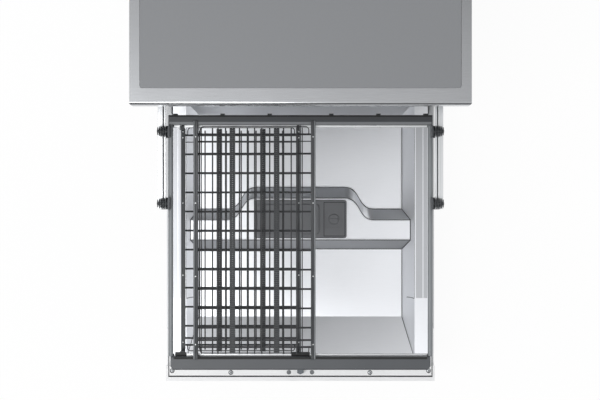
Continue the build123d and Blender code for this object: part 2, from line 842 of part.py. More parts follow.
def along(section, start, length):
    """A section of the XZ plane run towards the rear from a start, in the part being built."""
    extrude(to_extrude=section.moved(Location((0, start, 0))), amount=length, dir=(0, 1, 0))


with BuildPart() as rail_guides:
    along(guide_section(third_level), tub_front, guide_length)
    along(guide_section(upper_level), tub_front, guide_length)
    mirror(about=Plane.YZ)
save(rail_guides, "rail_guides")

with BuildPart() as third_rails:
    along(rail_section(third_level), rail_out_y, rail_length)
    mirror(about=Plane.YZ)
save(third_rails, "third_rails")

# Third-level rack: two moulded bars joined by side rods, with small lugs along the rear of the back bar
rod_radius = 2.5
rod_inset = 11
back_bar_over = 6
front_bar_over = 2
back_bar_depth = 18
front_bar_depth = 24
bar_height = 22
bar_chamfer = 6
bar_fillet = 2.5
ledge_depth = 4
ledge_height = 3
lug_first = 56.5
lug_pitch = 86.5
lug_count = 3
lug_half = 4
lug_depth = 3
lug_height = 10
lug_rise = 3
roller_end_inset = 9.8
front_roller_inset = 161.8
rear_roller_inset = 30.1
rack_depth_less = 28.5
rod_x = rail_inner - rod_inset
back_bar_half = rod_x + back_bar_over
front_bar_half = rod_x + front_bar_over
rack_rear_y = rail_out_y + roller_end_inset + front_roller_inset
bars_rear = rack_rear_y - back_bar_depth
rack_front_y = rack_rear_y - (tub_rear - tub_front) + rack_depth_less
bars_front = rack_front_y + front_bar_depth
bar_top = third_level + bar_height / 2
bar_base = third_level - bar_height / 2
lug_base = bar_base + lug_rise
rod_front = bars_front + seat_gap
rod_rear = bars_rear - seat_gap

with BuildPart() as third_back_bar:
    block((-back_bar_half, back_bar_half), (bars_rear, rack_rear_y), (bar_base, bar_top))
    fillet(third_back_bar.edges().filter_by(Axis.X), bar_fillet)
    block((-rod_x, rod_x), (bars_rear - ledge_depth, bars_rear + bar_fillet),
          (bar_base, bar_base + ledge_height))
    for lug in range(lug_count):
        lug_x = lug_first + lug * lug_pitch
        for sign in sides:
            block((sign * (lug_x - lug_half), sign * (lug_x + lug_half)),
                  (rack_rear_y - bar_fillet, rack_rear_y + lug_depth), (lug_base, lug_base + lug_height))
save(third_back_bar, "third_back_bar")

with BuildPart() as third_front_bar:
    with BuildSketch(Plane.XY.offset(bar_base)):
        with Locations((0, (rack_front_y + bars_front) / 2)):
            Rectangle(2 * front_bar_half, front_bar_depth)
        chamfer(vertices().group_by(Axis.Y)[0], bar_chamfer)
    extrude(amount=bar_height)
    fillet(third_front_bar.edges().filter_by(Axis.X).group_by(Axis.Z)[-1], bar_fillet)
    block((-rod_x, rod_x), (bars_front - bar_fillet, bars_front + ledge_depth),
          (bar_base, bar_base + ledge_height))
save(third_front_bar, "third_front_bar")

with BuildPart() as third_side_rods:
    with BuildSketch(Plane.XZ.offset(-rod_front)):
        with Locations((-rod_x, third_level), (rod_x, third_level)):
            Circle(rod_radius)
    extrude(amount=rod_front - rod_rear)
save(third_side_rods, "third_side_rods")

# Roller brackets: each holds a roller on top of the rail and a glide pad under it
bracket_length = 22
bracket_plate = 3.2
bracket_over = 6
pad_height = 4
axle_radius = 3
axle_over = 1
roller_radius = 10.5
roller_width = 19
roller_groove = 2
roller_groove_depth = 2
plate_inner = rod_x + rod_radius + seat_gap
plate_outer = plate_inner + bracket_plate
roller_x = plate_outer + seat_gap
third_roller_ys = (rack_rear_y - rear_roller_inset, rack_rear_y - front_roller_inset)


def roller_z(level):
    """The height of a roller's axle above its rail."""
    return level + rail_height / 2 + seat_gap + roller_radius


def roller_brackets(level, centres):
    """Brackets on both sides of a rack, with their axles."""
    pad_top = level - rail_height / 2 - seat_gap
    pad_base = pad_top - pad_height
    axle_length = roller_x + roller_width + axle_over - plate_inner
    with BuildPart() as brackets:
        for y in centres:
            reach_y = (y - bracket_length / 2, y + bracket_length / 2)
            block((plate_inner, plate_outer), reach_y, (pad_base, roller_z(level) + bracket_over))
            block((plate_inner, rail_outer), reach_y, (pad_base, pad_top))
            with BuildSketch(across(plate_inner, y, roller_z(level))):
                RegularPolygon(axle_radius, pin_sides)
            extrude(amount=axle_length)
        mirror(about=Plane.YZ)
    return brackets


def rollers(level, y, grooves):
    """The pair of rollers on one axle line, with ribs between their grooves."""
    with BuildPart() as pair:
        with BuildSketch(across(roller_x, y, roller_z(level))):
            RegularPolygon(roller_radius, wheel_sides)
        extrude(amount=roller_width)
        for groove in range(grooves):
            groove_x = roller_x + (groove + 1) * roller_width / (grooves + 1) - roller_groove / 2
            with BuildSketch(across(groove_x, y, roller_z(level))):
                RegularPolygon(roller_radius, wheel_sides)
                RegularPolygon(roller_radius - roller_groove_depth, wheel_sides, mode=Mode.SUBTRACT)
            extrude(amount=roller_groove, mode=Mode.SUBTRACT)
        with BuildSketch(across(roller_x, y, roller_z(level))):
            RegularPolygon(axle_radius + running_fit, hole_sides, major_radius=False)
        extrude(amount=roller_width, mode=Mode.SUBTRACT)
        mirror(about=Plane.YZ)
    return pair


third_roller_grooves = 2
save(roller_brackets(third_level, third_roller_ys), "third_roller_brackets")
save(rollers(third_level, third_roller_ys[0], third_roller_grooves), "third_rollers_rear")
save(rollers(third_level, third_roller_ys[1], third_roller_grooves), "third_rollers_front")

# Two sliding trays of one size. The right one hooks over the rack's bars and has been slid over the left one,
# which hangs lower, on the bars' inner ledges.
tray_pitch = 215
tray_bar_width = 6.6
tray_bar_height = 8
tray_drop = 40
left_tray_inset = 17.6
right_tray_shift = 26.2
hook_height = 3
hook_lip = 3
hook_drop = 9
hook_reach = 10
hook_ramp = 8
hook_foot = 12
hanger_lip = 3
hanger_post = 5
shoe_half = 10
left_tray_x = -rod_x + left_tray_inset
right_tray_x = left_tray_x + right_tray_shift
tray_back = bars_rear - seat_gap
tray_front = bars_front + seat_gap
hook_base = bar_top + seat_gap
hook_top = hook_base + hook_height
hook_rear = rack_rear_y + seat_gap
hook_front = bars_front - hook_reach
hook_ramp_back = tray_back - hook_foot
hook_ramp_front = tray_front + hook_foot
left_top = bar_top - tray_drop
left_back = tray_back - ledge_depth
left_front = tray_front + ledge_depth
hanger_base = bar_base + ledge_height + seat_gap
hanger_top = hanger_base + hanger_lip

# Toothed strips that part the cutlery, two in each tray
comb_offset = 39.75
comb_width = 6
comb_height = 11
comb_teeth = 12
comb_margin = 8

# Nets of welded wire under the bars
tray_wire = 3
tray_columns = 6
tray_rows = 10


def tray_bars(x, profile):
    """The two carrying bars of a tray, with the same outline of Y and Z points."""
    for bar_x in (x, x + tray_pitch):
        with BuildSketch(Plane.YZ.offset(bar_x - tray_bar_width / 2)) as outline:
            with BuildLine():
                Polyline(*profile, close=True)
            make_face()
        extrude(to_extrude=outline.sketch, amount=tray_bar_width)


def tray_combs(x, top, front, back):
    """The two toothed strips of a tray, standing on its net."""
    base = top - tray_bar_height
    length = back - front - 2 * comb_margin
    mid_x = x + tray_pitch / 2
    mid_y = (front + back) / 2
    for comb_x in (mid_x - comb_offset, mid_x + comb_offset):
        block((comb_x - comb_width / 2, comb_x + comb_width / 2),
              (mid_y - length / 2, mid_y + length / 2), (base, base + comb_height))
        with Locations((comb_x, mid_y, base + comb_height)):
            with GridLocations(0, length / comb_teeth, 1, comb_teeth):
                Box(comb_width, length / comb_teeth / 2, comb_height, mode=Mode.SUBTRACT)


def tray_net(x, top, front, back):
    """The net of a tray, just under its bars."""
    base = top - tray_bar_height - seat_gap - tray_wire
    width = tray_pitch + tray_bar_width
    plane = upright(x + tray_pitch / 2, (front + back) / 2, base)
    with BuildPart() as net:
        extrude(to_extrude=mesh_sheet(plane, width, back - front, tray_columns, tray_rows, tray_wire),
                amount=tray_wire)
    return net


with BuildPart() as right_tray_bars:
    tray_bars(right_tray_x, [
        (tray_front, bar_top - tray_bar_height),
        (tray_back, bar_top - tray_bar_height),
        (tray_back, hook_base),
        (hook_rear, hook_base),
        (hook_rear, hook_top - hook_drop),
        (hook_rear + hook_lip, hook_top - hook_drop),
        (hook_rear + hook_lip, hook_top),
        (hook_ramp_back, hook_top),
        (hook_ramp_back - hook_ramp, bar_top),
        (hook_ramp_front + hook_ramp, bar_top),
        (hook_ramp_front, hook_top),
        (hook_front, hook_top),
        (hook_front, hook_base),
        (tray_front, hook_base),
    ])
    tray_combs(right_tray_x, bar_top, tray_front, tray_back)
save(right_tray_bars, "right_tray_bars")

with BuildPart() as left_tray_bars:
    tray_bars(left_tray_x, [
        (left_front, left_top - tray_bar_height),
        (left_back, left_top - tray_bar_height),
        (left_back, hanger_base),
        (tray_back, hanger_base),
        (tray_back, hanger_top),
        (left_back - hanger_post, hanger_top),
        (left_back - hanger_post, left_top),
        (left_front + hanger_post, left_top),
        (left_front + hanger_post, hanger_top),
        (tray_front, hanger_top),
        (tray_front, hanger_base),
        (left_front, hanger_base),
    ])
    for bar_x in (left_tray_x, left_tray_x + tray_pitch):
        block((bar_x - shoe_half, bar_x + shoe_half), (tray_front, left_front + hanger_post),
              (hanger_base, hanger_top))
    tray_combs(left_tray_x, left_top, left_front, left_back)
save(left_tray_bars, "left_tray_bars")

save(tray_net(right_tray_x, bar_top, tray_front, tray_back), "right_tray_net")
save(tray_net(left_tray_x, left_top, left_front, left_back), "left_tray_net")

# Baskets: a welded wire box as a floor net and four wall nets
basket_wire = 4
basket_front_space = 4
basket_rear_space = 17
basket_columns = 5
basket_rows = 5
basket_levels = 2
basket_front = tub_front - basket_front_space
basket_rear = tub_rear - basket_rear_space
basket_mid = (basket_front + basket_rear) / 2
basket_depth = basket_rear - basket_front


def wire_basket(half, bottom, top):
    """A wire basket between its floor and its rim."""
    wall_base = bottom + basket_wire + weld_gap
    wall_height = top - wall_base
    wall_z = (wall_base + top) / 2
    wall_width = 2 * (half - basket_wire - weld_gap)
    floor_net = mesh_sheet(upright(0, basket_mid, bottom), 2 * half, basket_depth,
                           basket_columns, basket_rows, basket_wire)
    with BuildPart() as basket:
        extrude(to_extrude=floor_net, amount=basket_wire)
        for wall_x in (-half, half - basket_wire):
            side_net = mesh_sheet(across(wall_x, basket_mid, wall_z), basket_depth, wall_height,
                                  basket_rows, basket_levels, basket_wire)
            extrude(to_extrude=side_net, amount=basket_wire)
        for wall_y in (basket_front + basket_wire, basket_rear):
            plane = Plane(origin=(0, wall_y, wall_z), x_dir=(1, 0, 0), z_dir=(0, -1, 0))
            end_net = mesh_sheet(plane, wall_width, wall_height, basket_columns, basket_levels, basket_wire)
            extrude(to_extrude=end_net, amount=basket_wire)
    return basket


# Upper basket, carried by its own rollers on a second pair of slides
upper_drop = 112
upper_rise = 34
upper_rail_setback = 2
upper_roller_inset = 40
upper_roller_spacing = 160
upper_half = plate_inner - seat_gap
upper_bottom = upper_level - upper_drop
upper_top = upper_level + upper_rise
upper_roller_rear = basket_rear - upper_roller_inset
upper_roller_ys = (upper_roller_rear, upper_roller_rear - upper_roller_spacing)

save(wire_basket(upper_half, upper_bottom, upper_top), "upper_basket")
save(roller_brackets(upper_level, upper_roller_ys), "upper_roller_brackets")
save(rollers(upper_level, upper_roller_ys[0], 0), "upper_rollers_rear")
save(rollers(upper_level, upper_roller_ys[1], 0), "upper_rollers_front")

with BuildPart() as upper_rails:
    along(rail_section(upper_level), tub_front + upper_rail_setback, rail_length)
    mirror(about=Plane.YZ)
save(upper_rails, "upper_rails")

# Feed tube under the upper basket, from the duct at the rear to the upper spray arm
tube_width = 26
tube_height = 10
tube_corner = 4
tube_boss_radius = 17
tube_top = upper_bottom - seat_gap
tube_base = tube_top - tube_height
tube_rear = tub_rear - duct_depth - 2 * seat_gap

with BuildPart() as upper_feed_tube:
    with BuildSketch(Plane.XY.offset(tube_top)):
        with Locations((0, (arm_y + tube_rear) / 2)):
            Rectangle(tube_width, tube_rear - arm_y)
        with Locations((0, arm_y)):
            RegularPolygon(tube_boss_radius, hole_sides)
    extrude(amount=-tube_height)
    chamfer(upper_feed_tube.edges().filter_by(Axis.Z).group_by(Axis.Y)[-1], tube_corner)
    with BuildSketch(upright(0, arm_y, tube_base)):
        Circle(hub_pin_radius)
    extrude(amount=-hub_pin_length)
save(upper_feed_tube, "upper_feed_tube")

upper_arm_z = tube_base - seat_gap - arm_thickness
upper_spray_arm = spray_arm(upper_arm_z, upper_arm_length, upper_arm_width)
save(upper_spray_arm, "upper_spray_arm")

ceiling_arm_z = duct_z - duct_depth / 2 - duct_boss - seat_gap - arm_thickness
ceiling_spray_arm = spray_arm(ceiling_arm_z, ceiling_arm_length, ceiling_arm_width)
save(ceiling_spray_arm, "ceiling_spray_arm")

# Lower basket on four wheels that run on the tub's shelf and on the open door
lower_side_space = 24
lower_lift = 24
lower_height = 126
wheel_radius = 18
wheel_width = 8
wheel_axle = 4
wheel_side_gap = 6
wheel_inset = 60
lower_half = tub_half - lower_side_space
lower_bottom = pivot_height + lower_lift
lower_top = lower_bottom + lower_height
wheel_x = lower_half + wheel_side_gap
wheel_z = pivot_height + seat_gap + wheel_radius
wheel_ys = (basket_rear - wheel_inset, basket_front + wheel_inset)


def lower_wheels(y):
    """The two wheels on one axle line of the lower basket."""
    with BuildPart() as pair:
        with BuildSketch(across(wheel_x, y, wheel_z)):
            RegularPolygon(wheel_radius, wheel_sides)
            RegularPolygon(wheel_axle + running_fit, hole_sides, major_radius=False, mode=Mode.SUBTRACT)
        extrude(amount=wheel_width)
        mirror(about=Plane.YZ)
    return pair


save(wire_basket(lower_half, lower_bottom, lower_top), "lower_basket")
save(lower_wheels(wheel_ys[0]), "lower_wheels_rear")
save(lower_wheels(wheel_ys[1]), "lower_wheels_front")

# Axle clips hang from the lower basket's sides and carry its wheels
clip_length = 34
clip_below = 8
clip_above = 40
clip_inner = lower_half + seat_gap
clip_outer = wheel_x - seat_gap
clip_axle = wheel_x + wheel_width + axle_over - clip_inner

with BuildPart() as wheel_clips:
    for y in wheel_ys:
        block((clip_inner, clip_outer), (y - clip_length / 2, y + clip_length / 2),
              (wheel_z - clip_below, lower_bottom + clip_above))
        with BuildSketch(across(clip_inner, y, wheel_z)):
            RegularPolygon(wheel_axle, pin_sides)
        extrude(amount=clip_axle)
    mirror(about=Plane.YZ)
save(wheel_clips, "wheel_clips")

# Folding plate tines: upright wires on a rod across the lower basket
tine_count = 12
tine_height = 86
tine_radius = 2
tine_setback = 40
tine_side_space = 30
tine_y = basket_mid + tine_setback
tine_z = lower_bottom + basket_wire + seat_gap + tine_radius
tine_span = 2 * (lower_half - tine_side_space)

with BuildPart() as lower_tines:
    with BuildSketch(across(-tine_span / 2, tine_y, tine_z)):
        RegularPolygon(tine_radius, pin_sides)
    extrude(amount=tine_span)
    with BuildSketch(upright(0, tine_y, tine_z)):
        with GridLocations(tine_span / tine_count, 0, tine_count, 1):
            RegularPolygon(tine_radius, 6)
    extrude(amount=tine_height)
save(lower_tines, "lower_tines")

# Door, drawn open: a point of the door lies u in front of the hinge line and w above it.
# Outer panel: a folded pan with a lip that carries the liner
lip_width = 16
front_drop = 4
pan_corner = 3
panel_split = door_above_pivot - head_height
skin_z = pivot_height - skin_drop
pan_top = skin_z + pan_depth
pan_rear = pivot_y + door_below_pivot
pan_front = pivot_y - panel_split

with BuildPart() as door_outer_panel:
    block((-door_half, door_half), (pan_front, pan_rear), (skin_z, pan_top))
    fillet(door_outer_panel.edges().filter_by(Axis.Y).group_by(Axis.Z)[0], pan_corner)
    block((-door_half + door_sheet, door_half - door_sheet), (pan_front + door_sheet, pan_rear - door_sheet),
          (skin_z + door_sheet, pan_top - door_sheet), mode=Mode.SUBTRACT)
    block((-door_half + lip_width, door_half - lip_width), (pan_front - door_sheet, pan_rear - lip_width),
          (pan_top - front_drop, pan_top + door_sheet), mode=Mode.SUBTRACT)
save(door_outer_panel, "door_outer_panel")

# Liner: a stainless pressing, dished for the baskets, with a raised band across its middle
liner_sheet = 0.8
liner_rear_u = -4
dish_depth = 30
dish_rear_u = 5
dish_front_inset = 5
dish_wall = 26
dish_end_ramp = 90
band_depth = 10
band_rear_u = 240
band_mid_rear_u = 192
band_front_u = 310
band_ramp = 24
band_front_ramp = 20
band_mid_half = 98
band_side_half = 163
band_over = 10
band_under = 1
liner_front_u = mouth_height + seal_setback + seal_width
dish_half = ledge_inner
dish_front_u = mouth_height - dish_front_inset
skirt_bottom = pan_top + seat_gap


def door_y(u):
    """The Y of a point u in front of the hinge line, with the door open."""
    return pivot_y - u


def dish_level(drop, shrink, rear_ramp, front_ramp):
    """The dish's outline at a depth below the sealing flange."""
    rear_u = dish_rear_u + rear_ramp
    front_u = dish_front_u - front_ramp
    with BuildSketch(Plane.XY.offset(pivot_height - drop)) as level:
        with Locations((0, door_y((rear_u + front_u) / 2))):
            Rectangle(2 * (dish_half - shrink), front_u - rear_u)
    return level.sketch


def band_level(drop, ramp, front_u):
    """The raised band's outline at a depth, whose rear edge bows back round the dispenser."""
    half = dish_half + band_over
    side_y = door_y(band_rear_u + ramp)
    mid_y = door_y(band_mid_rear_u + ramp)
    with BuildSketch(Plane.XY.offset(pivot_height - drop)) as level:
        with BuildLine():
            left = Line((-half, door_y(front_u)), (-half, side_y))
            rear_left = Line(left @ 1, (-band_side_half, side_y))
            bend_left = Spline(rear_left @ 1, (-band_mid_half, mid_y), tangents=[(1, 0), (1, 0)])
            rear_mid = Line(bend_left @ 1, (band_mid_half, mid_y))
            bend_right = Spline(rear_mid @ 1, (band_side_half, side_y), tangents=[(1, 0), (1, 0)])
            rear_right = Line(bend_right @ 1, (half, side_y))
            right = Line(rear_right @ 1, (half, door_y(front_u)))
            Line(right @ 1, left @ 0)
        make_face()
    return level.sketch


def dished_hollow(grow):
    """The liner's whole hollow as a solid, grown by a sheet to make its back."""
    with BuildPart() as hollow:
        loft([dish_level(0, -grow, -grow, -grow),
              dish_level(dish_depth + grow, dish_wall - grow, dish_wall - grow, dish_end_ramp - grow)],
             ruled=True)
        loft([band_level(band_depth + grow, band_ramp + grow, band_front_u - grow),
              band_level(dish_depth + 2 * grow + band_under, grow, band_front_u + band_front_ramp - grow)],
             ruled=True, mode=Mode.SUBTRACT)
    return hollow.part


# The dispenser's hole in the liner, inside its flange
dispenser_u = 263
dispenser_length = 204
dispenser_width = 84
dispenser_lap = 4
hole_x = dispenser_length / 2 - dispenser_lap
hole_y = dispenser_width / 2 - dispenser_lap
dispenser_y = door_y(dispenser_u)

with BuildPart() as door_liner:
    block((-liner_half, liner_half), (door_y(liner_front_u), door_y(liner_rear_u)),
          (skirt_bottom, pivot_height))
    block((-liner_half + liner_sheet, liner_half - liner_sheet),
          (door_y(liner_front_u) + liner_sheet, door_y(liner_rear_u) - liner_sheet),
          (skirt_bottom - liner_sheet, pivot_height - liner_sheet), mode=Mode.SUBTRACT)
    add(dished_hollow(liner_sheet))
    add(dished_hollow(0), mode=Mode.SUBTRACT)
    block((-hole_x, hole_x), (dispenser_y - hole_y, dispenser_y + hole_y),
          (pivot_height - dish_depth, pivot_height), mode=Mode.SUBTRACT)
save(door_liner, "door_liner")

# Dispenser: a moulded unit in the band, with a sliding lid and a rinse-aid cap
dispenser_flange = 4
dispenser_corner = 5
dispenser_wall_gap = 2
chamber_left = -92
chamber_right = 38
chamber_half = 30
chamber_depth = 28
rinse_x = 74
rinse_radius = 11
rinse_seat = 3
rinse_recess_half = 19
rinse_recess_depth = 1.2
rinse_over = 1
rinse_bar_height = 2
rinse_bar_length = 17
rinse_bar_width = 3
dispenser_top = pivot_height - band_depth + seat_gap + dispenser_flange
flange_base = dispenser_top - dispenser_flange
dispenser_bottom = skin_z + door_sheet + dispenser_wall_gap
chamber_mid = (chamber_left + chamber_right) / 2
body_x = hole_x - dispenser_wall_gap
body_y = hole_y - dispenser_wall_gap

with BuildPart() as dispenser_body:
    with BuildSketch(upright(0, dispenser_y, flange_base)):
        RectangleRounded(dispenser_length, dispenser_width, dispenser_corner)
    extrude(amount=dispenser_flange)
    block((-body_x, body_x), (dispenser_y - body_y, dispenser_y + body_y), (dispenser_bottom, flange_base))
    block((chamber_left, chamber_right), (dispenser_y - chamber_half, dispenser_y + chamber_half),
          (dispenser_top - chamber_depth, dispenser_top + seat_gap), mode=Mode.SUBTRACT)
    block((rinse_x - rinse_recess_half, rinse_x + rinse_recess_half),
          (dispenser_y - rinse_recess_half, dispenser_y + rinse_recess_half),
          (dispenser_top - rinse_recess_depth, dispenser_top + seat_gap), mode=Mode.SUBTRACT)
    with BuildSketch(upright(rinse_x, dispenser_y, dispenser_top)):
        RegularPolygon(rinse_radius + seat_gap, wheel_sides, major_radius=False)
    extrude(amount=-rinse_seat, mode=Mode.SUBTRACT)
save(dispenser_body, "dispenser_body")

lid_sheet = 3
lid_margin = 3
lid_corner = 4
lid_bevel = 1

with BuildPart() as dispenser_lid:
    with BuildSketch(upright(chamber_mid, dispenser_y, dispenser_top + seat_gap)):
        Rectangle(chamber_right - chamber_left + 2 * lid_margin, 2 * (chamber_half + lid_margin))
        chamfer(vertices(), lid_corner)
    extrude(amount=lid_sheet)
    chamfer(dispenser_lid.edges().group_by(Axis.Z)[-1], lid_bevel)
save(dispenser_lid, "dispenser_lid")

with BuildPart() as rinse_aid_cap:
    with BuildSketch(upright(rinse_x, dispenser_y, dispenser_top - rinse_seat + seat_gap)):
        RegularPolygon(rinse_radius, wheel_sides)
    extrude(amount=rinse_seat + rinse_over)
    with BuildSketch(upright(rinse_x, dispenser_y, dispenser_top + rinse_over)):
        Rectangle(rinse_bar_length, rinse_bar_width)
    extrude(amount=rinse_bar_height)
save(rinse_aid_cap, "rinse_aid_cap")

# Control panel: the moulded head of the door, with a grip in its outer face
panel_tip_radius = 6
panel_w = 2
panel_wall = 4
panel_skin = 3
grip_inset = 75
grip_half = 110
grip_height = 36
grip_depth = 20
grip_draft = 8
grip_corner = 8
button_radius = 7
button_inset = 30
button_side_inset = 76.5
button_travel = 1.5
button_length = 6
button_bevel = 0.8
cavity_low = 12
cavity_high = 26
cavity_step = 34
cavity_tip = 8
panel_inner_u = liner_front_u + loose_gap
panel_rear_u = panel_split + seat_gap
panel_top = pivot_height - panel_w
panel_shelf = skirt_bottom - seat_gap - panel_w
grip_u = door_above_pivot - grip_inset
button_u = door_above_pivot - button_inset
start_x = door_half - button_side_inset
power_x = -start_x

with BuildPart() as control_panel:
    with BuildSketch(Plane.YZ.offset(-door_half)):
        with BuildLine():
            Polyline(
                (door_y(panel_rear_u), skin_z),
                (door_y(door_above_pivot), skin_z),
                (door_y(door_above_pivot), panel_top),
                (door_y(panel_inner_u), panel_top),
                (door_y(panel_inner_u), panel_shelf),
                (door_y(panel_rear_u), panel_shelf),
                close=True,
            )
        make_face()
        fillet(vertices().group_by(Axis.Y)[0], panel_tip_radius)
    extrude(amount=2 * door_half)
    with BuildSketch(Plane.YZ.offset(-door_half + panel_wall)):
        with BuildLine():
            Polyline(
                (door_y(panel_rear_u + panel_skin), skin_z + cavity_high),
                (door_y(door_above_pivot - cavity_step), skin_z + cavity_high),
                (door_y(door_above_pivot - cavity_step), skin_z + cavity_low),
                (door_y(door_above_pivot - cavity_tip), skin_z + cavity_low),
                (door_y(door_above_pivot - cavity_tip), panel_top - cavity_low),
                (door_y(panel_inner_u + panel_wall), panel_top - cavity_low),
                (door_y(panel_inner_u + panel_wall), panel_shelf - panel_skin),
                (door_y(panel_rear_u + panel_skin), panel_shelf - panel_skin),
                close=True,
            )
        make_face()
    extrude(amount=2 * (door_half - panel_wall), mode=Mode.SUBTRACT)
    with BuildSketch(upright(0, door_y(grip_u), skin_z)):
        Rectangle(2 * grip_half, grip_height)
        chamfer(vertices(), grip_corner)
    extrude(amount=grip_depth, taper=grip_draft, mode=Mode.SUBTRACT)
    with BuildSketch(upright(0, door_y(button_u), skin_z)):
        with Locations((power_x, 0), (start_x, 0)):
            RegularPolygon(button_radius + seat_gap, wheel_sides, major_radius=False)
    extrude(amount=button_length + button_travel + loose_gap, mode=Mode.SUBTRACT)
save(control_panel, "control_panel")


def button(x):
    """A push button in its hole in the control panel."""
    with BuildPart() as piece:
        with BuildSketch(upright(x, door_y(button_u), skin_z + loose_gap - seat_gap)):
            RegularPolygon(button_radius, wheel_sides)
        extrude(amount=button_length)
        chamfer(piece.edges().group_by(Axis.Z)[0], button_bevel)
    return piece


save(button(power_x), "power_button")
save(button(start_x), "start_button")

# Striker: the nose on the door's head that the lock catches
striker_half = 7
striker_height = 16
striker_length = 12
striker_slot_half = 3.5
striker_slot_low = 5
striker_slot_high = 11
striker_slot_front = 2
striker_slot_rear = 4
striker_y = door_y(striker_u)

with BuildPart() as latch_striker:
    with BuildSketch(Plane.XY.offset(panel_top)):
        with BuildLine():
            Polyline(
                (-striker_half, striker_y + striker_length / 2),
                (striker_half, striker_y + striker_length / 2),
                (striker_half, striker_y - striker_length / 4),
                (0, striker_y - striker_length / 2),
                (-striker_half, striker_y - striker_length / 4),
                close=True,
            )
        make_face()
    extrude(amount=striker_height)
    block((-striker_slot_half, striker_slot_half),
          (striker_y - striker_slot_front, striker_y + striker_slot_rear),
          (panel_top + striker_slot_low, panel_top + striker_slot_high), mode=Mode.SUBTRACT)
save(latch_striker, "latch_striker")

# Hinge arms: levers on the hinge pins that run up both sides of the door
arm_sheet = 3
arm_boss = 12
arm_reach = 190
arm_shoulder_u = 30
arm_shoulder_drop = 4
arm_end_drop = 8
arm_boss_drop = 2
arm_tail_u = -10
arm_base = pan_top + seat_gap

with BuildPart() as hinge_arms:
    with BuildSketch(Plane.YZ.offset(arm_inner)):
        with BuildLine():
            Polyline(
                (pivot_y, pivot_height + arm_boss - arm_boss_drop),
                (door_y(arm_shoulder_u), pivot_height - arm_shoulder_drop),
                (door_y(arm_reach), pivot_height - arm_end_drop),
                (door_y(arm_reach), arm_base),
                (door_y(arm_tail_u), arm_base),
                close=True,
            )
        make_face()
        with Locations((pivot_y, pivot_height)):
            Circle(arm_boss)
            Circle(pin_radius + running_fit, mode=Mode.SUBTRACT)
    extrude(amount=arm_sheet)
    mirror(about=Plane.YZ)
save(hinge_arms, "hinge_arms")
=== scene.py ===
import math

import bmesh
import bpy
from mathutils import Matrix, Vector


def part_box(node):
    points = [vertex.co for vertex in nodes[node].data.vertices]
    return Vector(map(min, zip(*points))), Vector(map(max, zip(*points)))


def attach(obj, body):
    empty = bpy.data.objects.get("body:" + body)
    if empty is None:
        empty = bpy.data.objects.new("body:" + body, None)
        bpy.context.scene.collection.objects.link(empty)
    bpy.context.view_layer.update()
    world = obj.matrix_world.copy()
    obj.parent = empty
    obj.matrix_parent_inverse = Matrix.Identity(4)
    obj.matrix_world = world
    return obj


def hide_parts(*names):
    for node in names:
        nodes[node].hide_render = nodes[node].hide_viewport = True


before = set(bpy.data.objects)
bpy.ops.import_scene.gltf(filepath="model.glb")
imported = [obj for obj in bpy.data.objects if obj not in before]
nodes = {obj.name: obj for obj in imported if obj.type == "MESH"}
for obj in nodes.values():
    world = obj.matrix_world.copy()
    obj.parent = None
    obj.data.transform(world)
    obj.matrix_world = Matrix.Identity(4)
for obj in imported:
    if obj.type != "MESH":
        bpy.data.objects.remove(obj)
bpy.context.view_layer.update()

# Camera: a long lens that looks straight down from 3.39 m, over a point a little in front of the worktop.
# The picture's top is the machine's rear, so the open door comes towards the bottom of the picture.
camera = bpy.data.objects.new("camera", bpy.data.cameras.new("camera"))
camera.data.sensor_width = 36
camera.data.lens = 87.01
camera.location = (-0.0009, -0.1833, 3.389)
bpy.context.scene.collection.objects.link(camera)
bpy.context.scene.camera = camera
bpy.context.scene.view_settings.view_transform = "Standard"

# Studio: a long soft light passes overhead from side to side, brighter on the left above and on the right low down,
# with one soft lamp beside it. It fades to the front wall and, more steeply, to the rear, and a lighter field stands
# halfway up the rear wall: level metal gets darker towards the machine's back, and the liner's end ramp stays light.
overhead_strength = 1.32
front_wall_strength = 0.16
rear_share = 0.27
rear_field_gain = 4.0
left_share, right_share = 1.34, 0.66
horizon_share = 0.68


def linear(colour):
    """An sRGB hex colour as linear red, green, blue and alpha."""
    channels = [int(colour[i:i + 2], 16) / 255 for i in (0, 2, 4)]
    return tuple(c / 12.92 if c <= 0.04045 else ((c + 0.055) / 1.055) ** 2.4 for c in channels) + (1.0,)


def connect(tree, node, sockets):
    """Sets each named socket of a node to a value, or links it to another node's socket."""
    for name, value in sockets.items():
        if isinstance(value, bpy.types.NodeSocket):
            tree.links.new(value, node.inputs[name])
        else:
            node.inputs[name].default_value = value


def add(tree, kind, sockets=None, **settings):
    """Adds a node with its settings, and connects its sockets."""
    made = tree.nodes.new(kind)
    for name, value in settings.items():
        setattr(made, name, value)
    connect(tree, made, sockets or {})
    return made


world = bpy.data.worlds.new("studio_room")
bpy.context.scene.world = world
world.use_nodes = True
room = world.node_tree
room.nodes.clear()
# directions run from -1 to 1: X to the right, Y to the rear, Z up
direction = add(room, "ShaderNodeTexCoord")
toward = add(room, "ShaderNodeSeparateXYZ", {"Vector": direction.outputs["Generated"]})
front = add(room, "ShaderNodeMapRange", {"Value": toward.outputs["Y"], "From Min": -0.1, "From Max": -0.75,
                                         "To Min": overhead_strength, "To Max": front_wall_strength},
            interpolation_type="SMOOTHSTEP")
rear = add(room, "ShaderNodeMapRange", {"Value": toward.outputs["Y"], "From Min": -0.06, "From Max": 0.17,
                                        "To Min": 1.0, "To Max": rear_share})
far = add(room, "ShaderNodeMapRange", {"Value": toward.outputs["Y"], "From Min": 0.38, "From Max": 0.58,
                                       "To Min": 1.0, "To Max": rear_field_gain})
tilt = add(room, "ShaderNodeMath", {0: toward.outputs["Z"], 1: 3.0, 2: -1.5}, operation="MULTIPLY_ADD")
lean = add(room, "ShaderNodeMath", {0: toward.outputs["X"], 1: tilt.outputs[0]}, operation="MULTIPLY")
